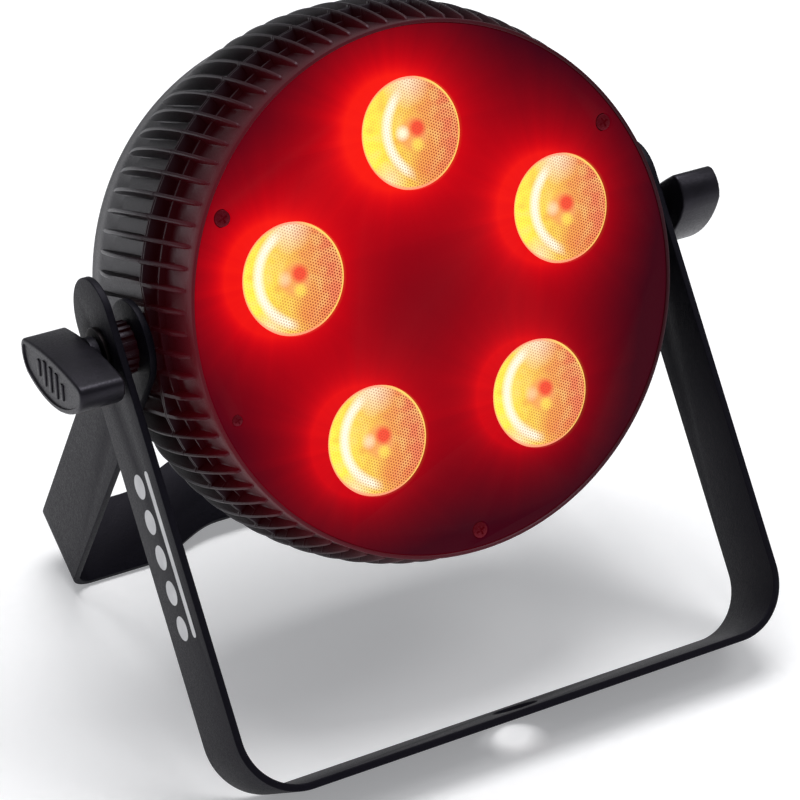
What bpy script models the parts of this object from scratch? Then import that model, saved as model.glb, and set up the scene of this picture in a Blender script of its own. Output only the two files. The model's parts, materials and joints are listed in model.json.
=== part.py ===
"""Flat LED par can that stands or hangs on two U brackets.

World frame: metres, +Z up, the floor at z = 0, the lit face towards -Y.
Head frame: +Z runs out of the lit face along the head's centre line (its
coordinate is called "depth" below), +X is the tilt axis, +Y is the head's up.
"""

import math

import bmesh
import bpy
from mathutils import Matrix, Vector

MM = 0.001

# Clearances
GAP = 0.3 * MM  # between faces that touch
FIT = 0.4 * MM  # round a piece that sits in a hole

# Head, along its centre line, measured from the tilt axis
HEAD_TILT = math.radians(20.0)  # how far the face looks up
AXIS_DROP = 1.3 * MM  # the centre line runs this far below the tilt axis
FACE_DEPTH = 39.5 * MM
PARTING_DEPTH = 10.1 * MM
BACK_DEPTH = -57.0 * MM

# Housing
RIM_RADIUS = 89.2 * MM
PARTING_RISE = 0.4 * MM  # the parting line stands out from the rim
FIN_TIP_DROP = 1.4 * MM  # the rear fins run out below the rim
SHOULDER_DROP = 3.2 * MM
SIDE_ROOM = 2.3 * MM  # the side flats stand out from the rim
BACK_CORNER = 7.0 * MM
SHELL_WALL = 2.2 * MM
FIN_COUNT = 80
FIN_HEIGHT = 5.7 * MM  # at the parting line
FIN_STEP = 1.0 * MM  # what is left of it at the front end
FIN_THICKNESS = 1.3 * MM
FIN_FRONT_DEPTH = 34.2 * MM
FIN_TIP_DEPTH = -40.3 * MM
SHOULDER_DEPTH = -50.0 * MM

# Front plate and lenses
PLATE_THICKNESS = 2.5 * MM
PLATE_INSET = 0.3 * MM
LIP_WALL = 1.3 * MM
LEDGE_THICKNESS = 2.0 * MM
LEDGE_WIDTH = 7.0 * MM
LENS_COUNT = 5
LENS_MARGIN = 6.4 * MM  # between the lens flanges and the ledge
WINDOW_RADIUS = 18.5 * MM
LENS_FLANGE = 2.0 * MM  # how far the lens flange reaches past its window
LENS_FLANGE_THICKNESS = 1.2 * MM
LENS_EXIT_RADIUS = 6.0 * MM
LENS_INSET = 1.6 * MM
CUP_WALL = 1.2 * MM

# Inside
SINK_THICKNESS = 3.0 * MM
SINK_ROOM = 3.0 * MM  # between the heat sink and the housing
SINK_FIN_HEIGHT = 15.0 * MM
SINK_FIN_THICKNESS = 1.6 * MM
SINK_FIN_PITCH = 13.0 * MM
SINK_FIN_ROOM = 8.8 * MM  # between its fins and the rear screw posts
BOARD_THICKNESS = 1.6 * MM
BOARD_ROOM = 1.6 * MM  # between the LED board and the front screw bosses
EMITTER_RADIUS = 4.0 * MM
EMITTER_HEIGHT = 2.4 * MM
FAN_SIZE = 70.0 * MM
FAN_THICKNESS = 14.0 * MM
FAN_BORE = 33.0 * MM
FAN_HUB = 12.0 * MM
FAN_BLADES = 7
FAN_STRUT = 3.0 * MM
FAN_ROOM = 2.0 * MM  # between the fan and the heat sink's fins
BLADE_PITCH = 0.6  # radians
BLADE_THICKNESS = 1.4 * MM
BLADE_ROOM = 1.5 * MM
SUPPLY_WIDTH = 84.0 * MM
SUPPLY_DROP = 8.0 * MM  # from the fan down to the supply board
SUPPLY_ROOM = 4.0 * MM
TRANSFORMER_SIZE = (18.0 * MM, 16.0 * MM, 14.0 * MM)
CAPACITOR_SIZE = (14.0 * MM, 13.0 * MM, 10.0 * MM)
CAPACITOR_SIDE = 24.0 * MM
CONTROL_BOARD_SIZE = (72.0 * MM, 36.0 * MM)

# Screws
FRONT_SCREW_ANGLES = (30.0, 150.0, 270.0)
SMALL_SCREW_ANGLE = 196.5
SMALL_SCREW_SCALE = 2 / 3
SCREW_INSET = 5.2 * MM  # from the plate's edge
SCREW_HEAD = 2.7 * MM
SCREW_SHANK = 1.5 * MM
SCREW_HEAD_HEIGHT = 1.6 * MM
BOSS_RADIUS = 4.8 * MM
REAR_SCREW_INSET = 7.0 * MM  # from the edge of the flat panel
REAR_SCREW_ANGLES = (45.0, 135.0, 225.0, 315.0)
REAR_POST_RADIUS = 5.2 * MM
REAR_WELL_RADIUS = 3.6 * MM
REAR_WELL_FLOOR = -12.0 * MM

# Tilt axis, from the head outwards
STRIP_WIDTH = 30.0 * MM
STRIP_THICKNESS = 2.5 * MM
DISC_THICKNESS = 0.8 * MM
DISC_RADIUS = 9.4 * MM
WASHER_THICKNESS = 1.5 * MM
WASHER_RADIUS = 9.0 * MM
SPACER_RADIUS = 9.0 * MM
SPACER_ROOT = 8.0 * MM
SPACER_TEETH = 18
SPACER_LENGTH = 7.0 * MM
STUD_RADIUS = 4.0 * MM
INSERT_RADIUS = 7.0 * MM
INSERT_LENGTH = 13.0 * MM
PIVOT_BOSS_RADIUS = 9.6 * MM
PIVOT_BOSS_LENGTH = 16.0 * MM

# Brackets
FRONT_LEAN = math.radians(36.0)
REAR_LEAN = math.radians(31.5)
FRONT_REACH = 154.7 * MM  # tilt axis to the outer face of the base
FRONT_BEND = 21.5 * MM  # outer bend radius
REAR_BEND = 8.7 * MM
FRONT_ARM_TOP = 10.4 * MM  # centre of the arm's round end above the tilt axis
REAR_ARM_TOP = 1.0 * MM
CLAMP_HOLE = 8.0 * MM
BASE_OFFSET = 8.8 * MM  # the rear bracket's base is set back this far in the middle
OFFSET_START = 63.0 * MM
OFFSET_END = 31.5 * MM

# Knobs
KNOB_CORNERS = (
    (27.3 * MM, 5.3 * MM),
    (-19.8 * MM, 1.7 * MM),
    (-16.5 * MM, -9.7 * MM),
    (25.5 * MM, -3.0 * MM),
)
KNOB_BULGES = (2.2 * MM, 2.0 * MM, 6.2 * MM, 1.2 * MM)  # of the side that follows each corner
KNOB_DEPTH = 15.8 * MM
KNOB_HUB_LENGTH = 1.9 * MM
KNOB_HUB_RADIUS = 6.5 * MM
KNOB_PANEL_DEPTH = 0.6 * MM
KNOB_RIM = 1.3 * MM
KNOB_TURNS = {"left": 0.0, "right": math.radians(-52.0)}

# Rear panel, places in the head's X and up
PANEL_WALL = 2.5 * MM
DISPLAY_INSET = 33.0 * MM  # these insets run from the edge of the flat panel
DISPLAY_SIZE = (44.0 * MM, 13.0 * MM)
DISPLAY_THICKNESS = 2.0 * MM
BUTTON_DROP = 20.0 * MM  # from the display down to the buttons
BUTTON_PITCH = 16.0 * MM
BUTTON_COUNT = 4
BUTTON_RADIUS = 3.5 * MM
BUTTON_FLANGE = 1.2 * MM
BUTTON_PROUD = 1.6 * MM
BUTTON_TRAVEL = 1.0 * MM
DMX_INSET = 27.0 * MM
DMX_UP = -4.0 * MM
DMX_RADIUS = 10.5 * MM
DMX_FLANGE = 13.0 * MM
DMX_CAVITY = 9.3 * MM
DMX_LENGTH = 20.0 * MM
DMX_INSERT_ROOM = 2.0 * MM
DMX_INSERT_DEPTH = 1.5 * MM
DMX_PIN_CIRCLE = 4.6 * MM
DMX_PIN_RADIUS = 1.2 * MM
DMX_PIN_DEPTH = 6.0 * MM
DMX_HOLE_RADIUS = 1.4 * MM
LATCH_SIZE = (5.0 * MM, 3.0 * MM)
LATCH_THICKNESS = 2.0 * MM
LATCH_TRAVEL = 1.2 * MM
POWER_SIDE = 29.0 * MM
POWER_INSET = 33.0 * MM
POWER_SIZE = (28.0 * MM, 21.0 * MM)
POWER_CAVITY = (24.4 * MM, 16.4 * MM)
POWER_FLANGE = 1.6 * MM  # how far the flange reaches past the body
POWER_LENGTH = 20.0 * MM
POWER_CAVITY_DEPTH = 16.0 * MM
POWER_PINS = ((0.0, 3.5 * MM), (-7.0 * MM, -3.5 * MM), (7.0 * MM, -3.5 * MM))
POWER_PIN_SIZE = (2.0 * MM, 4.0 * MM)
POWER_PIN_LENGTH = 9.0 * MM
POWER_SLOT_ROOM = 0.2 * MM
POWER_CORE_ROOM = 2.2 * MM
FLANGE_THICKNESS = 1.8 * MM
FUSE_RADIUS = 5.5 * MM
FUSE_CAP = 6.8 * MM
FUSE_LENGTH = 22.0 * MM
FUSE_PROUD = 3.5 * MM
FUSE_SLOT = (9.0 * MM, 1.4 * MM)
FUSE_SLOT_DEPTH = 1.2 * MM
LOOP_INSET = 13.0 * MM
LOOP_RADIUS = 8.0 * MM
LOOP_ROD = 2.2 * MM
LOOP_STAND = 6.0 * MM
LOOP_LEG = 5.0 * MM  # inside the panel
VENT_COUNT = 5
VENT_PITCH = 6.4 * MM
VENT_WIDTH = 48.0 * MM
VENT_HEIGHT = 2.8 * MM
VENT_TOP = 11.0 * MM

# Worked out from the values above
PARTING_RADIUS = RIM_RADIUS + PARTING_RISE
FIN_TIP_RADIUS = RIM_RADIUS - FIN_TIP_DROP
SHOULDER_RADIUS = RIM_RADIUS - SHOULDER_DROP
PANEL_EDGE = SHOULDER_RADIUS - BACK_CORNER
PLATE_RADIUS = RIM_RADIUS - LIP_WALL - GAP
PLATE_FRONT = FACE_DEPTH - PLATE_INSET
PLATE_BACK = PLATE_FRONT - PLATE_THICKNESS
LEDGE_FRONT = PLATE_BACK - GAP
LEDGE_BACK = LEDGE_FRONT - LEDGE_THICKNESS
INNER_RADIUS = RIM_RADIUS - SHELL_WALL
LEDGE_RADIUS = INNER_RADIUS - LEDGE_WIDTH
LENS_PITCH_RADIUS = LEDGE_RADIUS - LENS_MARGIN - WINDOW_RADIUS - LENS_FLANGE
SCREW_CIRCLE = PLATE_RADIUS - SCREW_INSET
REAR_SCREW_CIRCLE = PANEL_EDGE - REAR_SCREW_INSET
SINK_RADIUS = INNER_RADIUS - SINK_ROOM
SINK_FIN_REACH = REAR_SCREW_CIRCLE - REAR_POST_RADIUS - SINK_FIN_ROOM
BOARD_RADIUS = SCREW_CIRCLE - BOSS_RADIUS - BOARD_ROOM
SINK_BACK = PARTING_DEPTH + GAP
SINK_FRONT = SINK_BACK + SINK_THICKNESS
BOARD_BACK = SINK_FRONT + GAP
BOARD_FRONT = BOARD_BACK + BOARD_THICKNESS
EMITTER_BACK = BOARD_FRONT + GAP
EMITTER_FRONT = EMITTER_BACK + EMITTER_HEIGHT
FLANGE_FRONT = LEDGE_FRONT
FLANGE_BACK = FLANGE_FRONT - LENS_FLANGE_THICKNESS
CUP_BACK = BOARD_FRONT + GAP
FAN_FRONT = SINK_BACK - SINK_FIN_HEIGHT - FAN_ROOM
FAN_BACK = FAN_FRONT - FAN_THICKNESS
PANEL_INNER = BACK_DEPTH + PANEL_WALL
DISPLAY_AT = (0.0, PANEL_EDGE - DISPLAY_INSET)
BUTTON_UP = DISPLAY_AT[1] - BUTTON_DROP
DMX_SIDE = PANEL_EDGE - DMX_INSET
POWER_UP = POWER_INSET - PANEL_EDGE
LOOP_UP = PANEL_EDGE - LOOP_INSET
SIDE_FLAT = RIM_RADIUS + SIDE_ROOM
REAR_HALF_WIDTH = SIDE_FLAT + DISC_THICKNESS + 2 * GAP + STRIP_THICKNESS
FRONT_INNER_X = REAR_HALF_WIDTH + SPACER_LENGTH + 2 * GAP
FRONT_HALF_WIDTH = FRONT_INNER_X + STRIP_THICKNESS
WASHER_X = FRONT_HALF_WIDTH + GAP
KNOB_X = WASHER_X + WASHER_THICKNESS + GAP
KNOB_BODY_X = KNOB_X + KNOB_HUB_LENGTH
KNOB_END_X = KNOB_BODY_X + KNOB_DEPTH
FRONT_DROP = FRONT_REACH * math.cos(FRONT_LEAN) + STRIP_WIDTH / 2 * math.sin(FRONT_LEAN)
REAR_REACH = (FRONT_DROP - STRIP_WIDTH / 2 * math.sin(REAR_LEAN)) / math.cos(REAR_LEAN)
SIDES = {"left": -1.0, "right": 1.0}
OVERLAP = 0.5 * MM  # how far a piece joined to another one runs into it
BEYOND = 2.0 * MM  # how far a cutter runs past what it cuts


# ---------------------------------------------------------------- helpers


def clear_scene():
    for found in list(bpy.data.objects):
        bpy.data.objects.remove(found, do_unlink=True)


def material(name, colour, roughness, metallic=0.0):
    made = bpy.data.materials.get(name)
    if made:
        return made
    made = bpy.data.materials.new(name)
    made.use_nodes = True
    shader = made.node_tree.nodes["Principled BSDF"]
    shader.inputs["Base Color"].default_value = (*colour, 1.0)
    shader.inputs["Roughness"].default_value = roughness
    shader.inputs["Metallic"].default_value = metallic
    return made


def black_plastic():
    return material("black_plastic", (0.018, 0.016, 0.02), 0.45)


def powder_coat():
    return material("powder_coat", (0.05, 0.05, 0.06), 0.6)


def red_lit_plate():
    return material("painted_face", (0.12, 0.004, 0.012), 0.4)


def lens_plastic():
    return material("lens_plastic", (0.9, 0.35, 0.08), 0.2)


def plain_metal():
    return material("plain_steel", (0.6, 0.6, 0.62), 0.3, 1.0)


def aluminium():
    return material("aluminium", (0.7, 0.7, 0.7), 0.35, 1.0)


def brass():
    return material("brass", (0.75, 0.55, 0.2), 0.3, 1.0)


def circuit_board():
    return material("circuit_board", (0.02, 0.15, 0.05), 0.5)


def smoked_window():
    return material("smoked_window", (0.02, 0.02, 0.03), 0.1)


def rubber():
    return material("rubber", (0.02, 0.02, 0.02), 0.8)


def empty(name, parent=None, location=(0, 0, 0), turn=0.0):
    made = bpy.data.objects.new(name, None)
    bpy.context.collection.objects.link(made)
    made.parent = parent
    made.location = location
    made.rotation_euler = (turn, 0.0, 0.0)
    return made


def mesh_object(name, bm, parent, finish, place=None):
    """An object from a bmesh, with tidy normals and smooth round sides."""
    bmesh.ops.remove_doubles(bm, verts=bm.verts, dist=1e-7)
    bmesh.ops.dissolve_degenerate(bm, edges=bm.edges, dist=1e-7)
    bmesh.ops.recalc_face_normals(bm, faces=bm.faces)
    mesh = bpy.data.meshes.new(name)
    bm.to_mesh(mesh)
    bm.free()
    mesh.shade_smooth()
    mesh.set_sharp_from_angle(angle=math.radians(35))
    mesh.materials.append(finish)
    made = bpy.data.objects.new(name, mesh)
    bpy.context.collection.objects.link(made)
    made.parent = parent
    if place:
        made.matrix_local = place
    return made


def boolean(target, bm, kind, place=None):
    """Cuts the bmesh from the target, joins it or keeps what they share."""
    tool = mesh_object(f"{target.name}.{kind.lower()}", bm, target, rubber(), place)
    tool.hide_render = True
    tool.display_type = "WIRE"
    modifier = target.modifiers.new(kind.lower(), "BOOLEAN")
    modifier.operation = kind
    modifier.solver = "EXACT"
    modifier.object = tool
    return target


def add_cylinder(bm, radius, low, high, at=(0.0, 0.0), segments=24, axis="Z", top=None):
    """A cylinder, or a cone with a second radius, between two places on its axis."""
    turn = Matrix.Rotation(math.pi / 2, 4, "Y") if axis == "X" else Matrix.Identity(4)
    if axis == "X":
        centre = Vector(((low + high) / 2, at[0], at[1]))
    else:
        centre = Vector((at[0], at[1], (low + high) / 2))
    bmesh.ops.create_cone(
        bm,
        cap_ends=True,
        segments=segments,
        radius1=radius,
        radius2=radius if top is None else top,
        depth=high - low,
        matrix=Matrix.Translation(centre) @ turn,
    )


def add_box(bm, low, high):
    size = [h - l for l, h in zip(low, high, strict=True)]
    centre = [(h + l) / 2 for l, h in zip(low, high, strict=True)]
    place = Matrix.Translation(centre) @ Matrix.Diagonal((*size, 1.0))
    bmesh.ops.create_cube(bm, size=1.0, matrix=place)


def add_lathe(bm, profile, at=(0.0, 0.0), segments=32):
    """A profile of (radius, depth) points turned about the depth axis. It is
    closed on itself, or through the axis where it starts and ends there."""
    verts = [bm.verts.new((at[0] + radius, at[1], depth)) for radius, depth in profile]
    pairs = list(zip(verts, verts[1:], strict=False))
    if profile[0][0] > 0.0:
        pairs.append((verts[-1], verts[0]))
    bmesh.ops.spin(
        bm,
        geom=verts + [bm.edges.new(pair) for pair in pairs],
        cent=(at[0], at[1], 0.0),
        axis=(0.0, 0.0, 1.0),
        angle=math.tau,
        steps=segments,
        use_merge=True,
    )


def add_stepped_hole(bm, at, bore, well, low, step, high):
    """A cutter for a bore from low to the step, and a wider well from there to high."""
    profile = [(0.0, low), (bore, low), (bore, step), (well, step), (well, high), (0.0, high)]
    add_lathe(bm, profile, at, 12)


def polar(radius, degrees):
    turn = math.radians(degrees)
    return radius * math.cos(turn), radius * math.sin(turn)


def circle_through(first, second, third):
    """The circle through three (depth, radius) points: its centre and radius."""
    (ax, ay), (bx, by), (cx, cy) = first, second, third
    d = 2 * (ax * (by - cy) + bx * (cy - ay) + cx * (ay - by))
    a2, b2, c2 = ax * ax + ay * ay, bx * bx + by * by, cx * cx + cy * cy
    ux = (a2 * (by - cy) + b2 * (cy - ay) + c2 * (ay - by)) / d
    uy = (a2 * (cx - bx) + b2 * (ax - cx) + c2 * (bx - ax)) / d
    return ux, uy, math.hypot(ax - ux, ay - uy)


FIN_ARC = circle_through(
    (FIN_FRONT_DEPTH, RIM_RADIUS + FIN_STEP),
    (PARTING_DEPTH, PARTING_RADIUS + FIN_HEIGHT),
    (FIN_TIP_DEPTH, FIN_TIP_RADIUS),
)


def fin_top(depth):
    centre_depth, centre_radius, radius = FIN_ARC
    return centre_radius + math.sqrt(radius**2 - (depth - centre_depth) ** 2)


def skin(depth):
    """Radius of the housing between its fins."""
    ends = (FIN_FRONT_DEPTH, RIM_RADIUS) if depth > PARTING_DEPTH else (FIN_TIP_DEPTH, FIN_TIP_RADIUS)
    share = (depth - PARTING_DEPTH) / (ends[0] - PARTING_DEPTH)
    return PARTING_RADIUS + (ends[1] - PARTING_RADIUS) * share


# ---------------------------------------------------------------- housing


def fin_ring(bm, depth, closed):
    """One ring of points: four at each fin, or one where the fins have closed."""
    ring = []
    for count in range(FIN_COUNT):
        middle = math.tau * count / FIN_COUNT
        if closed:
            points = [(0.0, skin(depth))]
        else:
            half = FIN_THICKNESS / 2 / skin(depth)
            base, top = skin(depth), fin_top(depth)
            points = [(-half, base), (-half, top), (half, top), (half, base)]
        ring.append(
            [
                bm.verts.new((r * math.cos(middle + turn), r * math.sin(middle + turn), depth))
                for turn, r in points
            ]
        )
    return ring


def plain_ring(bm, radius, depth):
    return [[bm.verts.new((*polar(radius, 360.0 * n / FIN_COUNT), depth))] for n in range(FIN_COUNT)]


def join_rings(bm, first, second):
    """Faces between two rings, a fan at each fin where one ring has closed."""
    for count in range(FIN_COUNT):
        following = (count + 1) % FIN_COUNT
        a, b = first[count], second[count]
        for step in range(max(len(a), len(b)) - 1):
            corners = a[step : step + 2] if len(a) > 1 else a
            other = b[step : step + 2] if len(b) > 1 else b
            if len(corners) + len(other) > 2:
                bm.faces.new(corners + other[::-1])
        bm.faces.new([a[-1], first[following][0], second[following][0], b[-1]])


def shell_mesh(rings, capped):
    """A shell from a row of rings, each made by a function. It is capped at both
    ends, or closed from the last ring to the first."""
    bm = bmesh.new()
    made = [ring(bm) for ring in rings]
    for first, second in zip(made, made[1:], strict=False):
        join_rings(bm, first, second)
    if capped:
        for ring in (made[0], made[-1]):
            bm.faces.new([column[0] for column in ring])
    else:
        join_rings(bm, made[-1], made[0])
    return bm


def side_trim(reach):
    """What the housing keeps between the flats that the arms swing past."""
    bm = bmesh.new()
    add_box(bm, (-SIDE_FLAT, -reach, -reach), (SIDE_FLAT, reach, reach))
    return bm


def build_front_shell(head):
    finned = [PARTING_DEPTH + GAP / 2, FIN_FRONT_DEPTH]
    rings = [lambda bm, d=d: fin_ring(bm, d, closed=False) for d in finned]
    plain = [
        (RIM_RADIUS, FIN_FRONT_DEPTH + FIN_STEP),
        (RIM_RADIUS, FACE_DEPTH),
        (RIM_RADIUS - LIP_WALL, FACE_DEPTH),
        (RIM_RADIUS - LIP_WALL, LEDGE_FRONT),
        (LEDGE_RADIUS, LEDGE_FRONT),
        (LEDGE_RADIUS, LEDGE_BACK),
        (INNER_RADIUS, LEDGE_BACK),
        (INNER_RADIUS, PARTING_DEPTH + GAP / 2),
    ]
    rings += [lambda bm, r=r, d=d: plain_ring(bm, r, d) for r, d in plain]
    shell = mesh_object("front_shell", shell_mesh(rings, capped=False), head, black_plastic())
    boolean(shell, side_trim(BEYOND + 2 * RIM_RADIUS), "INTERSECT")
    bosses = bmesh.new()
    holes = bmesh.new()
    for angle in FRONT_SCREW_ANGLES:
        at = polar(SCREW_CIRCLE, angle)
        add_cylinder(bosses, BOSS_RADIUS, SINK_FRONT + GAP, LEDGE_FRONT - OVERLAP, at, 12)
        add_cylinder(holes, SCREW_SHANK + FIT, SINK_BACK, FACE_DEPTH, at, 12)
    at = polar(SCREW_CIRCLE, SMALL_SCREW_ANGLE)
    add_cylinder(holes, SCREW_SHANK * SMALL_SCREW_SCALE + FIT, LEDGE_BACK - BEYOND, FACE_DEPTH, at, 12)
    boolean(shell, bosses, "UNION")
    return boolean(shell, holes, "DIFFERENCE")


def build_rear_shell(head):
    parting = PARTING_DEPTH - GAP / 2
    corner = [
        (
            SHOULDER_RADIUS - BACK_CORNER * (1 - math.cos(turn)),
            SHOULDER_DEPTH + (BACK_DEPTH - SHOULDER_DEPTH) * math.sin(turn),
        )
        for turn in (math.pi / 2, math.pi / 4, 0.0)
    ]
    finned = [FIN_TIP_DEPTH + (parting - FIN_TIP_DEPTH) * share for share in (0.45, 1.0)]
    inside = [
        (INNER_RADIUS, parting),
        (SHOULDER_RADIUS - SHELL_WALL, SHOULDER_DEPTH),
        (corner[0][0] - SHELL_WALL, PANEL_INNER),
    ]
    rings = [lambda bm, r=r, d=d: plain_ring(bm, r, d) for r, d in corner]
    rings.append(lambda bm: fin_ring(bm, FIN_TIP_DEPTH, closed=True))
    rings += [lambda bm, d=d: fin_ring(bm, d, closed=False) for d in finned]
    rings += [lambda bm, r=r, d=d: plain_ring(bm, r, d) for r, d in inside]
    shell = mesh_object("rear_shell", shell_mesh(rings, capped=True), head, black_plastic())
    boolean(shell, side_trim(BEYOND + 2 * RIM_RADIUS), "INTERSECT")

    joined = bmesh.new()
    for angle in REAR_SCREW_ANGLES:
        at = polar(REAR_SCREW_CIRCLE, angle)
        add_cylinder(joined, REAR_POST_RADIUS, PANEL_INNER - OVERLAP, SINK_BACK - GAP, at, 12)
    for side in SIDES.values():
        ends = sorted((side * (SIDE_FLAT - PIVOT_BOSS_LENGTH), side * SIDE_FLAT))
        add_cylinder(joined, PIVOT_BOSS_RADIUS, *ends, (AXIS_DROP, 0.0), 24, axis="X")
    boolean(shell, joined, "UNION")
    return boolean(shell, rear_openings(), "DIFFERENCE")


def rear_openings():
    """Everything cut through the rear panel, the screw wells and the pivot holes."""
    cut = bmesh.new()
    outside, inside = BACK_DEPTH - BEYOND, PANEL_INNER + BEYOND
    for angle in REAR_SCREW_ANGLES:
        at = polar(REAR_SCREW_CIRCLE, angle)
        bore = SCREW_SHANK + FIT
        add_stepped_hole(cut, at, bore, REAR_WELL_RADIUS, SINK_FRONT, REAR_WELL_FLOOR, outside)
    for side in SIDES.values():
        reach = sorted((side * (SIDE_FLAT - PIVOT_BOSS_LENGTH - BEYOND), side * (SIDE_FLAT + BEYOND)))
        add_cylinder(cut, INSERT_RADIUS + GAP, *reach, (AXIS_DROP, 0.0), 24, axis="X")
        add_cylinder(cut, DMX_RADIUS + FIT, outside, inside, (side * DMX_SIDE, DMX_UP), 24)
        add_panel_box(cut, (side * POWER_SIDE, POWER_UP), POWER_SIZE, outside, inside, FIT)
        add_cylinder(cut, LOOP_ROD + FIT, outside, inside, (side * LOOP_RADIUS, LOOP_UP), 12)
    add_cylinder(cut, FUSE_RADIUS + FIT, outside, inside, (0.0, POWER_UP), 16)
    add_panel_box(cut, DISPLAY_AT, DISPLAY_SIZE, outside, inside, FIT)
    for at in button_places():
        add_cylinder(cut, BUTTON_RADIUS + FIT, outside, inside, at, 16)
    for row in range(VENT_COUNT):
        up = VENT_TOP - row * VENT_PITCH
        add_panel_box(cut, (0.0, up), (VENT_WIDTH, VENT_HEIGHT), outside, inside, 0.0)
    return cut


def button_places():
    first = -(BUTTON_COUNT - 1) / 2 * BUTTON_PITCH
    return [(first + n * BUTTON_PITCH, BUTTON_UP) for n in range(BUTTON_COUNT)]


def add_panel_box(bm, at, size, low, high, room):
    """A box on the rear panel: centre and size in the panel, low and high in depth."""
    half = (size[0] / 2 + room, size[1] / 2 + room)
    add_box(bm, (at[0] - half[0], at[1] - half[1], low), (at[0] + half[0], at[1] + half[1], high))


# ---------------------------------------------------------------- face


def lens_places():
    return [polar(LENS_PITCH_RADIUS, 90.0 + 360.0 * n / LENS_COUNT) for n in range(LENS_COUNT)]


def build_front_plate(head):
    bm = bmesh.new()
    add_cylinder(bm, PLATE_RADIUS, PLATE_BACK, PLATE_FRONT, segments=FIN_COUNT)
    plate = mesh_object("front_plate", bm, head, red_lit_plate())
    cut = bmesh.new()
    for at in lens_places():
        add_cylinder(cut, WINDOW_RADIUS, PLATE_BACK - BEYOND, PLATE_FRONT + BEYOND, at, 24)
    screws = [(angle, 1.0) for angle in FRONT_SCREW_ANGLES] + [(SMALL_SCREW_ANGLE, SMALL_SCREW_SCALE)]
    for angle, scale in screws:
        at = polar(SCREW_CIRCLE, angle)
        under_head = PLATE_FRONT - SCREW_HEAD_HEIGHT * scale - GAP
        bore, well = SCREW_SHANK * scale + FIT, SCREW_HEAD * scale + FIT
        add_stepped_hole(cut, at, bore, well, PLATE_BACK - BEYOND, under_head, PLATE_FRONT + BEYOND)
    return boolean(plate, cut, "DIFFERENCE")


def build_lens(head, number, at):
    front = FACE_DEPTH - LENS_INSET
    window = WINDOW_RADIUS - FIT
    flange = WINDOW_RADIUS + LENS_FLANGE
    exit_depth = EMITTER_FRONT + GAP
    profile = [
        (0.0, front),
        (window, front),
        (window, FLANGE_FRONT),
        (flange, FLANGE_FRONT),
        (flange, FLANGE_BACK),
        (window - CUP_WALL, FLANGE_BACK),
        (LENS_EXIT_RADIUS - CUP_WALL, exit_depth),
        (0.0, exit_depth),
    ]
    bm = bmesh.new()
    add_lathe(bm, profile, at, 20)
    return mesh_object(f"lens_{number}", bm, head, lens_plastic())


def build_lens_cup(head, number, at):
    flange = WINDOW_RADIUS + LENS_FLANGE
    top = FLANGE_BACK - GAP
    bore = WINDOW_RADIUS - CUP_WALL + FIT
    slope = (bore - LENS_EXIT_RADIUS) / (top - (EMITTER_FRONT + GAP))
    foot = bore - slope * (top - CUP_BACK)
    inner_foot = max(foot, EMITTER_RADIUS + FIT)
    turn_depth = top - (bore - inner_foot) / slope
    profile = [
        (flange, top),
        (flange, top - CUP_WALL),
        (bore + CUP_WALL, top - 2 * CUP_WALL),
        (inner_foot + CUP_WALL, turn_depth),
        (inner_foot + CUP_WALL, CUP_BACK),
        (inner_foot, CUP_BACK),
        (inner_foot, turn_depth),
        (bore, top),
    ]
    bm = bmesh.new()
    add_lathe(bm, profile, at, 16)
    return mesh_object(f"lens_cup_{number}", bm, head, black_plastic())


def build_emitter(head, number, at):
    bm = bmesh.new()
    base = EMITTER_BACK + EMITTER_HEIGHT / 2
    profile = [
        (0.0, EMITTER_FRONT),
        (EMITTER_RADIUS / 2, EMITTER_FRONT - EMITTER_HEIGHT / 8),
        (EMITTER_RADIUS * 0.8, base),
        (EMITTER_RADIUS, base),
        (EMITTER_RADIUS, EMITTER_BACK),
        (0.0, EMITTER_BACK),
    ]
    add_lathe(bm, profile, at, 12)
    return mesh_object(f"led_emitter_{number}", bm, head, lens_plastic())


def build_screw(name, parent, angle, head_top, tip, scale=1.0, circle=SCREW_CIRCLE):
    """A countersunk screw with a cross slot, between two depths."""
    at = polar(circle, angle)
    down = math.copysign(1.0, tip - head_top)
    head_radius, shank, head_height = SCREW_HEAD * scale, SCREW_SHANK * scale, SCREW_HEAD_HEIGHT * scale
    under = head_top + down * head_height
    profile = [(0.0, head_top), (head_radius, head_top), (shank, under), (shank, tip), (0.0, tip)]
    bm = bmesh.new()
    add_lathe(bm, profile, at, 10)
    screw = mesh_object(name, bm, parent, plain_metal())
    slot = bmesh.new()
    low, high = sorted((head_top + down * head_height * 0.6, head_top - down * BEYOND))
    arm, half = head_radius * 0.6, head_radius * 0.15
    add_box(slot, (at[0] - arm, at[1] - half, low), (at[0] + arm, at[1] + half, high))
    boolean(screw, slot, "DIFFERENCE")
    cross = bmesh.new()
    add_box(cross, (at[0] - half, at[1] - arm, low), (at[0] + half, at[1] + arm, high))
    return boolean(screw, cross, "DIFFERENCE")


# ---------------------------------------------------------------- inside


def build_led_board(head):
    bm = bmesh.new()
    add_cylinder(bm, BOARD_RADIUS, BOARD_BACK, BOARD_FRONT, segments=40)
    return mesh_object("led_board", bm, head, circuit_board())


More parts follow.
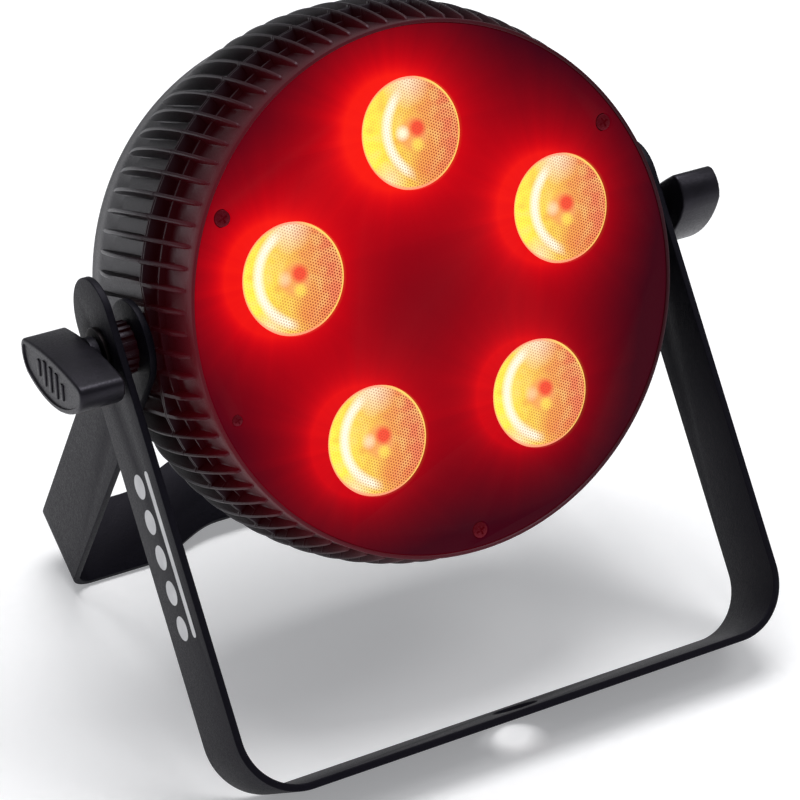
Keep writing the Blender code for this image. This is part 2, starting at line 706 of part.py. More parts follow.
def build_heat_sink(head):
    bm = bmesh.new()
    add_cylinder(bm, SINK_RADIUS, SINK_BACK, SINK_FRONT, segments=40)
    sink = mesh_object("heat_sink", bm, head, aluminium())
    fins = bmesh.new()
    rows = int(SINK_FIN_REACH / SINK_FIN_PITCH)
    for row in range(-rows, rows + 1):
        side = row * SINK_FIN_PITCH
        reach = math.sqrt(SINK_FIN_REACH**2 - side**2)
        low = (side - SINK_FIN_THICKNESS / 2, -reach, SINK_BACK - SINK_FIN_HEIGHT)
        high = (side + SINK_FIN_THICKNESS / 2, reach, SINK_BACK + OVERLAP)
        add_box(fins, low, high)
    boolean(sink, fins, "UNION")
    holes = bmesh.new()
    places = []
    for angle in FRONT_SCREW_ANGLES:
        places.append(polar(SCREW_CIRCLE, angle))
    for angle in REAR_SCREW_ANGLES:
        places.append(polar(REAR_SCREW_CIRCLE, angle))
    for place in places:
        add_cylinder(holes, SCREW_SHANK + FIT, SINK_BACK - BEYOND, SINK_FRONT + BEYOND, place, 12)
    return boolean(sink, holes, "DIFFERENCE")


def build_fan_frame(head):
    half = FAN_SIZE / 2
    bm = bmesh.new()
    add_box(bm, (-half, -half, FAN_BACK), (half, half, FAN_FRONT))
    frame = mesh_object("fan_frame", bm, head, black_plastic())
    bore = bmesh.new()
    add_cylinder(bore, FAN_BORE, FAN_BACK - BEYOND, FAN_FRONT + BEYOND, segments=32)
    boolean(frame, bore, "DIFFERENCE")
    spokes = bmesh.new()
    strut = FAN_STRUT / 2
    reach = FAN_BORE + OVERLAP
    add_box(spokes, (-reach, -strut, FAN_BACK), (reach, strut, FAN_BACK + FAN_STRUT))
    add_box(spokes, (-strut, -reach, FAN_BACK), (strut, reach, FAN_BACK + FAN_STRUT))
    add_cylinder(spokes, FAN_HUB, FAN_BACK, FAN_BACK + FAN_STRUT, segments=16)
    boolean(frame, fused(spokes, "fan_spokes", head), "UNION")
    return frame


def fused(bm, name, parent):
    """The overlapping bodies of a bmesh made one, through self-union."""
    whole = mesh_object(name, bm, parent, rubber())
    modifier = whole.modifiers.new("fuse", "BOOLEAN")
    modifier.operation = "UNION"
    modifier.solver = "EXACT"
    modifier.use_self = True
    nothing = bmesh.new()
    far = 50 * RIM_RADIUS
    add_box(nothing, (far, far, far), (far + MM, far + MM, far + MM))
    tool = mesh_object(f"{name}.tool", nothing, parent, rubber())
    modifier.object = tool
    depsgraph = bpy.context.evaluated_depsgraph_get()
    result = bmesh.new()
    result.from_mesh(whole.evaluated_get(depsgraph).data)
    stray = [v for v in result.verts if v.co.x > far / 2]
    bmesh.ops.delete(result, geom=stray, context="VERTS")
    bpy.data.objects.remove(tool)
    bpy.data.objects.remove(whole)
    return result


def build_fan_rotor(fan):
    """Hub and swept blades, about the fan's own axis."""
    bm = bmesh.new()
    low = FAN_STRUT + MM - FAN_THICKNESS
    high = -MM
    add_cylinder(bm, FAN_HUB, low, high, segments=3 * FAN_BLADES)
    root, tip = FAN_HUB * 0.9, FAN_BORE - BLADE_ROOM
    for count in range(FAN_BLADES):
        turn = Matrix.Rotation(math.tau * count / FAN_BLADES, 4, "Z")
        sweep = turn @ Matrix.Rotation(BLADE_PITCH, 4, "X")
        reach = Matrix.Translation(((root + tip) / 2, 0.0, 0.0))
        size = Matrix.Diagonal((tip - root, (high - low) * 0.9, BLADE_THICKNESS, 1.0))
        middle = Matrix.Translation((0.0, 0.0, (low + high) / 2))
        bmesh.ops.create_cube(bm, size=1.0, matrix=middle @ sweep @ reach @ size)
    return mesh_object("fan_rotor", fused(bm, "rotor_parts", fan), fan, black_plastic())


def build_power_supply(head):
    """The mains supply board, edge on under the fan, its parts hanging down."""
    board_up = -FAN_SIZE / 2 - SUPPLY_DROP
    half = SUPPLY_WIDTH / 2
    low, high = FAN_BACK - SUPPLY_ROOM, SINK_BACK - SINK_FIN_HEIGHT - MM
    bm = bmesh.new()
    add_box(bm, (-half, board_up - BOARD_THICKNESS, low), (half, board_up, high))
    board = mesh_object("power_supply_board", bm, head, circuit_board())
    parts = bmesh.new()
    top = board_up - BOARD_THICKNESS + OVERLAP
    middle = (low + high) / 2
    fitted = [(0.0, TRANSFORMER_SIZE), (-CAPACITOR_SIDE, CAPACITOR_SIZE), (CAPACITOR_SIDE, CAPACITOR_SIZE)]
    for x, (width, hang, deep) in fitted:
        first = (x - width / 2, top - hang, middle - deep / 2)
        add_box(parts, first, (x + width / 2, top, middle + deep / 2))
    return boolean(board, parts, "UNION")


def build_control_board(head):
    """Display and button board, just inside the rear panel."""
    low = PANEL_INNER + BUTTON_FLANGE + BUTTON_TRAVEL + 2 * GAP
    bm = bmesh.new()
    at = (0.0, (DISPLAY_AT[1] + BUTTON_UP) / 2)
    add_panel_box(bm, at, CONTROL_BOARD_SIZE, low, low + BOARD_THICKNESS, 0.0)
    return mesh_object("control_board", bm, head, circuit_board())


# ---------------------------------------------------------------- rear panel


def build_display(head):
    bm = bmesh.new()
    low, high = BACK_DEPTH - GAP, BACK_DEPTH - GAP + DISPLAY_THICKNESS
    add_panel_box(bm, DISPLAY_AT, DISPLAY_SIZE, low, high, 0.0)
    return mesh_object("display_window", bm, head, smoked_window())


def build_button(head, number, at):
    bm = bmesh.new()
    profile = [
        (0.0, BACK_DEPTH - BUTTON_PROUD),
        (BUTTON_RADIUS, BACK_DEPTH - BUTTON_PROUD),
        (BUTTON_RADIUS, PANEL_INNER + GAP),
        (BUTTON_RADIUS + BUTTON_FLANGE, PANEL_INNER + GAP),
        (BUTTON_RADIUS + BUTTON_FLANGE, PANEL_INNER + BUTTON_FLANGE),
        (0.0, PANEL_INNER + BUTTON_FLANGE),
    ]
    add_lathe(bm, profile, at, 16)
    return mesh_object(f"menu_button_{number}", bm, head, rubber())


def build_power_socket(head, name, side, male):
    """A mains appliance socket: pins in an open box, or a block with three slots."""
    at = (side * POWER_SIDE, POWER_UP)
    outer = BACK_DEPTH - FLANGE_THICKNESS - GAP
    bm = bmesh.new()
    add_panel_box(bm, at, POWER_SIZE, outer, outer + POWER_LENGTH, 0.0)
    add_panel_box(bm, at, POWER_SIZE, outer, BACK_DEPTH - GAP, POWER_FLANGE)
    socket = mesh_object(name, fused(bm, f"{name}_parts", head), head, black_plastic())
    cut = bmesh.new()
    add_panel_box(cut, at, POWER_CAVITY, outer - BEYOND, outer + POWER_CAVITY_DEPTH, 0.0)
    boolean(socket, cut, "DIFFERENCE")
    places = [(at[0] + x, at[1] + up) for x, up in POWER_PINS]
    floor = outer + POWER_CAVITY_DEPTH
    if male:
        blades = bmesh.new()
        for place in places:
            add_panel_box(blades, place, POWER_PIN_SIZE, floor - POWER_PIN_LENGTH, floor + OVERLAP, 0.0)
        return boolean(socket, blades, "UNION")
    core = bmesh.new()
    add_panel_box(core, at, POWER_CAVITY, outer + MM, floor + OVERLAP, -POWER_CORE_ROOM)
    boolean(socket, core, "UNION")
    slots = bmesh.new()
    for place in places:
        add_panel_box(slots, place, POWER_PIN_SIZE, outer - BEYOND, floor - BEYOND, POWER_SLOT_ROOM)
    return boolean(socket, slots, "DIFFERENCE")


def build_dmx(head, name, side, male):
    """A three-pin data connector: pins in a cup, or an insert with three holes."""
    at = (side * DMX_SIDE, DMX_UP)
    outer = BACK_DEPTH - FLANGE_THICKNESS - GAP
    floor = outer + 0.75 * DMX_LENGTH
    rim = [
        (0.0, floor),
        (DMX_CAVITY, floor),
        (DMX_CAVITY, outer),
        (DMX_FLANGE, outer),
        (DMX_FLANGE, BACK_DEPTH - GAP),
        (DMX_RADIUS, BACK_DEPTH - GAP),
        (DMX_RADIUS, outer + DMX_LENGTH),
        (0.0, outer + DMX_LENGTH),
    ]
    bm = bmesh.new()
    add_lathe(bm, rim, at, 24)
    body = mesh_object(name, bm, head, plain_metal())
    pins = [polar(DMX_PIN_CIRCLE, 90.0 + 120.0 * n) for n in range(3)]
    places = [(at[0] + x, at[1] + up) for x, up in pins]
    added = bmesh.new()
    if male:
        for place in places:
            add_cylinder(added, DMX_PIN_RADIUS, outer + DMX_PIN_DEPTH, floor + OVERLAP, place, 8)
        return boolean(body, added, "UNION")
    insert = DMX_CAVITY - DMX_INSERT_ROOM
    add_cylinder(added, insert, outer + DMX_INSERT_DEPTH, floor + OVERLAP, at, 20)
    boolean(body, added, "UNION")
    cut = bmesh.new()
    for place in places:
        add_cylinder(cut, DMX_HOLE_RADIUS, outer - BEYOND, floor - BEYOND, place, 8)
    notch = (at[0], at[1] + DMX_FLANGE)
    add_panel_box(cut, notch, latch_room(), outer - BEYOND, BACK_DEPTH, 0.0)
    return boolean(body, cut, "DIFFERENCE")


def latch_room():
    return (LATCH_SIZE[0] + 2 * FIT, LATCH_SIZE[1] * 2)


def build_latch(head):
    """The push latch in the top edge of the data output's flange."""
    at = (DMX_SIDE, DMX_UP + DMX_FLANGE)
    bm = bmesh.new()
    high = BACK_DEPTH - GAP - LATCH_TRAVEL
    add_panel_box(bm, at, LATCH_SIZE, high - LATCH_THICKNESS, high, 0.0)
    return mesh_object("dmx_latch", bm, head, plain_metal())


def build_fuse_holder(head):
    outer = BACK_DEPTH - GAP
    top = outer - FUSE_PROUD
    profile = [
        (0.0, top),
        (FUSE_CAP, top),
        (FUSE_CAP, outer),
        (FUSE_RADIUS, outer),
        (FUSE_RADIUS, outer + FUSE_LENGTH),
        (0.0, outer + FUSE_LENGTH),
    ]
    bm = bmesh.new()
    add_lathe(bm, profile, (0.0, POWER_UP), 20)
    fuse = mesh_object("fuse_holder", bm, head, black_plastic())
    slot = bmesh.new()
    add_panel_box(slot, (0.0, POWER_UP), FUSE_SLOT, top - BEYOND, top + FUSE_SLOT_DEPTH, 0.0)
    return boolean(fuse, slot, "DIFFERENCE")


def build_safety_loop(head):
    """A bent steel rod: two legs through the panel and a round bow outside."""
    steps = 10
    start = PANEL_INNER + LOOP_LEG
    bow = BACK_DEPTH - LOOP_STAND
    points = [(-LOOP_RADIUS, start), (-LOOP_RADIUS, bow)]
    for step in range(1, steps):
        turn = math.pi * step / steps
        points.append((-LOOP_RADIUS * math.cos(turn), bow - LOOP_RADIUS * math.sin(turn)))
    points += [(LOOP_RADIUS, bow), (LOOP_RADIUS, start)]
    curve = bpy.data.curves.new("safety_loop", "CURVE")
    curve.dimensions = "3D"
    curve.bevel_depth = LOOP_ROD
    curve.bevel_resolution = 2
    curve.use_fill_caps = True
    spline = curve.splines.new("POLY")
    spline.points.add(len(points) - 1)
    for point, (x, depth) in zip(spline.points, points, strict=True):
        point.co = (x, LOOP_UP, depth, 1.0)
    curve.materials.append(plain_metal())
    made = bpy.data.objects.new("safety_loop", curve)
    bpy.context.collection.objects.link(made)
    made.parent = head
    return made


# ---------------------------------------------------------------- brackets


def strip_stations(half_width, reach, bend, arm_top, base_offset):
    """Stations along half of a bent strip, from the arm's round end to the
    middle of its base: centre (x, down), the way it faces, its half width and
    how far it is set back."""
    centre_radius = bend - STRIP_THICKNESS / 2
    arm_x = half_width - STRIP_THICKNESS / 2
    base_down = reach - STRIP_THICKNESS / 2
    end_radius = STRIP_WIDTH / 2
    stations = []
    for step in range(1, 7):
        turn = math.pi / 2 * step / 6
        down = -arm_top - end_radius * math.cos(turn)
        stations.append(((arm_x, down), (1.0, 0.0), end_radius * math.sin(turn), 0.0))
    bend_steps = 6
    for step in range(bend_steps + 1):
        turn = math.pi / 2 * step / bend_steps
        x = arm_x - centre_radius + centre_radius * math.cos(turn)
        down = base_down - centre_radius + centre_radius * math.sin(turn)
        stations.append(((x, down), (math.cos(turn), math.sin(turn)), end_radius, 0.0))
    if base_offset:
        for step in range(7):
            share = step / 6
            x = OFFSET_START + (OFFSET_END - OFFSET_START) * share
            back = base_offset * (1 - math.cos(math.pi * share)) / 2
            stations.append(((x, base_down), (0.0, 1.0), end_radius, back))
    stations.append(((0.0, base_down), (0.0, 1.0), end_radius, base_offset))
    return stations


def strip_mesh(stations):
    """The bent strip in its own frame: X from arm to arm, Y to the back across
    the strip's width, Z up the arms."""
    mirrored = [((-x, d), (-nx, nz), half, back) for (x, d), (nx, nz), half, back in stations[-2::-1]]
    bm = bmesh.new()
    rings = []
    for (x, down), (nx, nz), half, back in stations + mirrored:
        ring = []
        for outwards, across in ((1, 1), (1, -1), (-1, -1), (-1, 1)):
            shift = outwards * STRIP_THICKNESS / 2
            place = (x + nx * shift, across * half + back, -(down + nz * shift))
            ring.append(bm.verts.new(place))
        rings.append(ring)
    for first, second in zip(rings, rings[1:], strict=False):
        for corner in range(4):
            following = (corner + 1) % 4
            bm.faces.new((first[corner], first[following], second[following], second[corner]))
    bm.faces.new(rings[0][::-1])
    bm.faces.new(rings[-1])
    return bm


def build_bracket(name, parent, half_width, reach, bend, arm_top, base_offset):
    stations = strip_stations(half_width, reach, bend, arm_top, base_offset)
    bracket = mesh_object(name, strip_mesh(stations), parent, powder_coat())
    holes = bmesh.new()
    across = half_width + BEYOND
    for side in SIDES.values():
        ends = sorted((side * (half_width - STRIP_THICKNESS - BEYOND), side * across))
        add_cylinder(holes, STUD_RADIUS + FIT, *ends, (0.0, 0.0), 16, axis="X")
    low, high = -reach - BEYOND, -reach + STRIP_THICKNESS + BEYOND
    add_cylinder(holes, CLAMP_HOLE, low, high, (0.0, base_offset), 24)
    return boolean(bracket, holes, "DIFFERENCE")


# ---------------------------------------------------------------- tilt axis


def ring_on_axis(name, parent, side, low, high, radius, bore, finish, segments=24):
    """A washer on the tilt axis between two distances from the middle."""
    bm = bmesh.new()
    profile = [(radius, low), (radius, high), (bore, high), (bore, low)]
    add_lathe(bm, profile, segments=segments)
    turn = Matrix.Rotation(side * math.pi / 2, 4, "Y")
    bmesh.ops.transform(bm, matrix=turn, verts=bm.verts)
    return mesh_object(name, bm, parent, finish)


def build_spacer(name, parent, side):
    """The toothed spacer between the two bracket arms."""
    tooth = 360.0 / SPACER_TEETH
    radii = (SPACER_RADIUS, SPACER_RADIUS, SPACER_ROOT, SPACER_ROOT)
    outline = [
        polar(radius, tooth * (count + step / len(radii)))
        for count in range(SPACER_TEETH)
        for step, radius in enumerate(radii)
    ]
    bm = bmesh.new()
    add_prism(bm, outline, *sorted((side * (REAR_HALF_WIDTH + GAP), side * (FRONT_INNER_X - GAP))))
    spacer = mesh_object(name, bm, parent, black_plastic())
    bore = bmesh.new()
    reach = sorted((side * REAR_HALF_WIDTH, side * FRONT_INNER_X))
    add_cylinder(bore, STUD_RADIUS + FIT, *reach, (0.0, 0.0), 16, axis="X")
    return boolean(spacer, bore, "DIFFERENCE")


def build_stud(name, parent, side):
    bm = bmesh.new()
    low = SIDE_FLAT - INSERT_LENGTH
    high = KNOB_END_X - KNOB_DEPTH / 3
    ends = sorted((side * low, side * high))
    add_cylinder(bm, STUD_RADIUS, *ends, (0.0, 0.0), 16, axis="X")
    return mesh_object(name, bm, parent, plain_metal())


def knob_outline(rim=0.0):
    """Outline of the knob as seen from outside, about the tilt axis: a nearly
    flat back, a tail, a full belly and a blunt nose, each an arc between two
    corners. With a rim it shrinks about its middle."""
    middle = [sum(corner[k] for corner in KNOB_CORNERS) / len(KNOB_CORNERS) for k in range(2)]
    height = KNOB_CORNERS[0][1] - KNOB_CORNERS[2][1]
    scale = 1 - 2 * rim / height
    corners = [Vector([m + (c - m) * scale for c, m in zip(corner, middle)]) for corner in KNOB_CORNERS]
    points = []
    for number, start in enumerate(corners):
        end = corners[(number + 1) % len(corners)]
        points += arc_between(start, end, KNOB_BULGES[number] * scale)
    return points


def arc_between(start, end, bulge, steps=6):
    """Points from the start up to the end of an arc that bulges to the right."""
    chord = end - start
    radius = (chord.length**2 / 4 + bulge**2) / (2 * bulge)
    outwards = Vector((chord.y, -chord.x)).normalized()
    centre = (start + end) / 2 + outwards * (bulge - radius)
    half = math.asin(chord.length / 2 / radius)
    points = []
    for step in range(steps):
        turn = half * (2 * step / steps - 1)
        along = chord.normalized() * math.sin(turn)
        points.append(centre + (outwards * math.cos(turn) + along) * radius)
    return points


def add_prism(bm, outline, low, high):
    """A prism with its outline across the tilt axis."""
    face = bm.faces.new([bm.verts.new((low, y, z)) for y, z in outline])
    made = bmesh.ops.extrude_face_region(bm, geom=[face])
    moved = [item for item in made["geom"] if isinstance(item, bmesh.types.BMVert)]
    bmesh.ops.translate(bm, vec=(high - low, 0.0, 0.0), verts=moved)


def build_handle(name, parent, side):
    turn = Matrix.Rotation(side * KNOB_TURNS[name.split("_")[0]], 4, "X")
    bm = bmesh.new()
    body = sorted((side * KNOB_BODY_X, side * KNOB_END_X))
    add_prism(bm, [(side * across, up) for across, up in knob_outline()], *body)
    bmesh.ops.transform(bm, matrix=turn, verts=bm.verts)
    handle = mesh_object(name, bm, parent, black_plastic())
    hub = bmesh.new()
    ends = sorted((side * KNOB_X, side * (KNOB_BODY_X + OVERLAP)))
    add_cylinder(hub, KNOB_HUB_RADIUS, *ends, (0.0, 0.0), 24, axis="X")
    boolean(handle, hub, "UNION")
    cut = bmesh.new()
    panel = sorted((side * (KNOB_END_X - KNOB_PANEL_DEPTH), side * (KNOB_END_X + BEYOND)))
    add_prism(cut, [(side * across, up) for across, up in knob_outline(KNOB_RIM)], *panel)
    bmesh.ops.transform(cut, matrix=turn, verts=cut.verts)
    bore = sorted((side * (KNOB_X - BEYOND), side * (KNOB_END_X - KNOB_DEPTH / 3 + GAP)))
    add_cylinder(cut, STUD_RADIUS + GAP, *bore, (0.0, 0.0), 16, axis="X")
    return boolean(handle, cut, "DIFFERENCE")


# ---------------------------------------------------------------- assembly


def build_head(head):
    build_front_shell(head)
    build_rear_shell(head)
    build_front_plate(head)
    for number, at in enumerate(lens_places(), start=1):
        build_lens(head, number, at)
        build_lens_cup(head, number, at)
        build_emitter(head, number, at)
    for number, angle in enumerate(FRONT_SCREW_ANGLES, start=1):
        build_screw(f"front_screw_{number}", head, angle, PLATE_FRONT, SINK_BACK + GAP)
    build_screw("front_screw_4", head, SMALL_SCREW_ANGLE, PLATE_FRONT, LEDGE_BACK, SMALL_SCREW_SCALE)
    top = REAR_WELL_FLOOR - GAP - SCREW_HEAD_HEIGHT
    for number, angle in enumerate(REAR_SCREW_ANGLES, start=1):
        name = f"rear_screw_{number}"
        build_screw(name, head, angle, top, SINK_FRONT - GAP, circle=REAR_SCREW_CIRCLE)
    build_led_board(head)
    build_heat_sink(head)
    build_fan_frame(head)
    fan = empty("fan_axis", head, (0.0, 0.0, FAN_FRONT))
    build_fan_rotor(fan)
    build_power_supply(head)
    build_control_board(head)
    build_display(head)
    for number, at in enumerate(button_places(), start=1):
        build_button(head, number, at)
    build_power_socket(head, "power_inlet", SIDES["left"], male=True)
    build_power_socket(head, "power_outlet", SIDES["right"], male=False)
    build_dmx(head, "dmx_input", SIDES["left"], male=True)
    build_dmx(head, "dmx_output", SIDES["right"], male=False)
    build_latch(head)
    build_fuse_holder(head)
    build_safety_loop(head)
    for name, side in SIDES.items():
        flat = SIDE_FLAT - GAP
        ends = (flat - INSERT_LENGTH, flat)
        pivot = empty(f"{name}_insert_axis", head, (0.0, AXIS_DROP, 0.0))
        insert_bore = STUD_RADIUS + GAP
        ring_on_axis(f"{name}_pivot_insert", pivot, side, *ends, INSERT_RADIUS, insert_bore, brass(), 20)
        disc = (SIDE_FLAT + GAP, SIDE_FLAT + GAP + DISC_THICKNESS)
        disc_bore = STUD_RADIUS + FIT
        ring_on_axis(f"{name}_friction_disc", pivot, side, *disc, DISC_RADIUS, disc_bore, rubber(), 24)


def build_axis_pieces(axis):
    for name, side in SIDES.items():
        build_spacer(f"{name}_spacer", axis, side)
        washer = (WASHER_X, WASHER_X + WASHER_THICKNESS)
        bore = STUD_RADIUS + FIT
        ring_on_axis(f"{name}_washer", axis, side, *washer, WASHER_RADIUS, bore, plain_metal(), 24)
        build_stud(f"{name}_knob_stud", axis, side)
        build_handle(f"{name}_knob_handle", axis, side)


def stand_on_floor(root):
    """Moves the whole light so that its box stands on the origin."""
    bpy.context.view_layer.update()
    corners = []
    for found in bpy.data.objects:
        if found.type in {"MESH", "CURVE"} and not found.hide_render:
            corners += [found.matrix_world @ Vector(corner) for corner in found.bound_box]
    low = [min(corner[k] for corner in corners) for k in range(3)]
    high = [max(corner[k] for corner in corners) for k in range(3)]
    root.location -= Vector(((low[0] + high[0]) / 2, (low[1] + high[1]) / 2, low[2]))
    bpy.context.view_layer.update()


def main():
    clear_scene()
    root = empty("tilt_axis")
    front = empty("front_bracket_frame", root, turn=-FRONT_LEAN)
    rear = empty("rear_bracket_frame", root, turn=REAR_LEAN)
    head = empty("head_frame", root, turn=math.pi / 2 - HEAD_TILT)
    centre = empty("head_centre", head, (0.0, -AXIS_DROP, 0.0))
    build_bracket("front_bracket", front, FRONT_HALF_WIDTH, FRONT_REACH, FRONT_BEND, FRONT_ARM_TOP, 0.0)
    build_bracket("rear_bracket", rear, REAR_HALF_WIDTH, REAR_REACH, REAR_BEND, REAR_ARM_TOP, BASE_OFFSET)
    build_head(centre)
    build_axis_pieces(root)
    stand_on_floor(root)


main()
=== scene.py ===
import json
import math

import bmesh
import bpy
from bpy.props import FloatProperty, FloatVectorProperty, IntProperty, PointerProperty
from bpy.types import Operator, Panel, PropertyGroup
from mathutils import Matrix, Vector


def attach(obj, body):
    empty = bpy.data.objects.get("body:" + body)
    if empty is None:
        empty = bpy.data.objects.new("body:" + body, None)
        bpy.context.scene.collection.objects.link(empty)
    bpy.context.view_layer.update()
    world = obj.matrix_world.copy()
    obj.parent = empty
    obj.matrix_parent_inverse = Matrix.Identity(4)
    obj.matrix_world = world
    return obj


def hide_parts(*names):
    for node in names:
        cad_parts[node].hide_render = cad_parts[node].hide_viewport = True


bl_info = {
    "name": "Par Light Looks",
    "version": (1, 0, 0),
    "blender": (4, 5, 0),
    "location": "View3D > Sidebar > Par Light",
    "description": "Detailed pieces, finishes and a small studio for a flat LED par light",
    "category": "Object",
}

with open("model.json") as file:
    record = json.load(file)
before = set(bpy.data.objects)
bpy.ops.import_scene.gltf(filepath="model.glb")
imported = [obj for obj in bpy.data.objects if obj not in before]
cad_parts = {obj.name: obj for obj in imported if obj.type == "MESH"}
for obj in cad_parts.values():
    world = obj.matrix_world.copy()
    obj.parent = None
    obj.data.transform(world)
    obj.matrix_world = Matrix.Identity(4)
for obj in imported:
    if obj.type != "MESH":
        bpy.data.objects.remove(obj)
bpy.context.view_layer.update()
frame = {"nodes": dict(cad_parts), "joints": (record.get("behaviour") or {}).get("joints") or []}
JOINTS = {joint["name"]: joint for joint in frame["joints"]}
PIVOT = Vector(JOINTS["head_tilt"]["pos_m"])

MM = 0.001
SIDES = {"left": -1.0, "right": 1.0}


def length(name, description, millimetres):
    return FloatProperty(
        name=name, description=description, default=millimetres * MM, unit="LENGTH", precision=4
    )


def angle(name, description, degrees):
    return FloatProperty(
        name=name, description=description, default=math.radians(degrees), unit="ROTATION"
    )


# ------------------------------------------------------------------ settings


class HeadSizes(PropertyGroup):
    tilt: angle("Tilt", "How far the lit face looks up", 20.0)
    drop: length("Axis drop", "From the tilt axis down to the head's centre line", 1.3)
    face: length("Face", "Front edge of the rim, along the centre line", 39.5)
    parting: length("Parting line", "Where the two housing halves meet", 10.1)
    back: length("Back", "Outer face of the rear panel", -57.0)
    rim: length("Rim radius", "Outside of the smooth front band", 89.2)
    parting_radius: length("Parting radius", "Housing between the fins at the parting line", 89.6)
    fin_tip_radius: length("Fin tip radius", "Housing where the rear fins run out", 87.8)
    fin_tip: length("Fin tip", "Where the rear fins run out", -40.3)
    fin_front: length("Fin front", "Where the front fins end", 34.2)
    fin_height: length("Fin height", "Height of the fins at the parting line", 5.7)
    fin_step: length("Fin step", "Height of the fins' front ends", 1.0)
    fin_top: length("Fin top width", "Thickness of a fin at its top", 0.95)
    fin_base: length("Fin base width", "Thickness of a fin at its base", 1.75)
    shoulder: length("Shoulder", "Where the back corner starts", -50.0)
    shoulder_radius: length("Shoulder radius", "Housing where the back corner starts", 86.0)
    corner: length("Back corner", "Radius of the back corner", 7.0)
    side_flat: length("Side flat", "Half the distance between the flats by the arms", 91.5)
    wall: length("Wall", "Thickness of the moulded walls", 2.2)
    plate_radius: length("Plate radius", "Outside of the front plate", 87.6)
    plate_front: length("Plate front", "Front face of the front plate", 39.2)
    plate_thickness: length("Plate thickness", "Thickness of the front plate", 2.5)
    window: length("Window radius", "Holes in the front plate for the lenses", 18.5)
    pitch: length("Lens circle", "Radius of the circle that the lenses stand on", 53.1)
    fins: IntProperty(name="Fins", description="Fins round the housing", default=80)
    lenses: IntProperty(name="Lenses", description="Lenses in the face", default=5)


class BracketSizes(PropertyGroup):
    width: length("Width", "Width of the flat bar", 30.0)
    thickness: length("Thickness", "Thickness of the flat bar", 2.5)
    front_lean: angle("Front lean", "How far the front bracket leans forward", 36.0)
    rear_lean: angle("Rear lean", "How far the rear bracket leans back", 31.5)
    front_half: length("Front half width", "Outer half width of the front bracket", 105.5)
    rear_half: length("Rear half width", "Outer half width of the rear bracket", 95.4)
    front_reach: length("Front reach", "Tilt axis to the front base", 154.7)
    rear_reach: length("Rear reach", "Tilt axis to the rear base", 147.934)
    front_bend: length("Front bend", "Outer bend radius of the front bracket", 21.5)
    rear_bend: length("Rear bend", "Outer bend radius of the rear bracket", 8.7)
    front_top: length("Front arm top", "Centre of the front arms' round ends above the axis", 10.4)
    rear_top: length("Rear arm top", "Centre of the rear arms' round ends above the axis", 1.0)
    setback: length("Setback", "How far the rear base is set back in its middle", 8.8)
    setback_start: length("Setback start", "Distance from the middle where the setback starts", 63.0)
    setback_end: length("Setback end", "Distance from the middle where it is complete", 31.5)
    clamp_hole: length("Clamp hole", "Radius of the hole for a clamp", 8.0)
    stud: length("Stud radius", "Radius of the knobs' studs", 4.0)


class KnobSizes(PropertyGroup):
    inner: length("Hub face", "Inner end of the hub, from the middle of the light", 107.6)
    body: length("Body", "Inner face of the body", 109.5)
    outer: length("End", "Outer face of the body", 125.3)
    hub: length("Hub radius", "Radius of the round hub", 6.5)
    recess: length("Recess", "Depth of the sunk end panel", 0.6)
    rim: length("Rim", "Width of the rim round the end panel", 1.4)
    left: angle("Left turn", "How far the left knob is turned", 0.0)
    right: angle("Right turn", "How far the right knob is turned", -52.0)


class StageSettings(PropertyGroup):
    azimuth: angle("Azimuth", "Camera angle round the light", 29.53)
    elevation: angle("Elevation", "Camera angle above the horizon", 30.67)
    distance: length("Distance", "From the camera to the point it looks at", 1087.3)
    focal: FloatProperty(
        name="Focal length", description="Lens of the camera", default=140.15, unit="CAMERA"
    )
    aim: FloatVectorProperty(
        name="Aim", description="The point looked at, from the tilt axis", default=(
            0.0070, 0.00175, -0.0514
        ), unit="LENGTH"
    )
    key: FloatProperty(name="Key light", description="Power of the key light", default=3.8, unit="POWER")
    top: FloatProperty(
        name="Top light", description="Power of the overhead light", default=24.0, unit="POWER"
    )
    fill: FloatProperty(
        name="Fill light", description="Power of the fill light", default=0.6, unit="POWER"
    )


# ------------------------------------------------------------------ geometry


def head_place(head):
    """From the head's own axes (across, up, out of the face) to the world."""
    turn = Matrix.Rotation(math.pi / 2 - head.tilt, 4, "X")
    return Matrix.Translation(PIVOT) @ turn @ Matrix.Translation((0.0, -head.drop, 0.0))


def axis_place():
    return Matrix.Translation(PIVOT)


def polar(radius, degrees):
    turn = math.radians(degrees)
    return radius * math.cos(turn), radius * math.sin(turn)


def tidy(bm, within=1e-6):
    bmesh.ops.remove_doubles(bm, verts=bm.verts, dist=within)
    bmesh.ops.dissolve_degenerate(bm, edges=bm.edges, dist=1e-7)
    bmesh.ops.recalc_face_normals(bm, faces=bm.faces)


def piece(name, bm, place, body, nodes, finishes, crease=32.0):
    """Places a finished mesh in the world, ties it to its body and hides the CAD nodes it replaces."""
    bmesh.ops.transform(bm, matrix=place, verts=bm.verts)
    mesh = bpy.data.meshes.new(name)
    bm.to_mesh(mesh)
    bm.free()
    mesh.shade_smooth()
    mesh.set_sharp_from_angle(angle=math.radians(crease))
    for finish in finishes:
        mesh.materials.append(finish)
    made = bpy.data.objects.new(name, mesh)
    bpy.context.collection.objects.link(made)
    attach(made, body)
    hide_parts(*nodes)
    return made


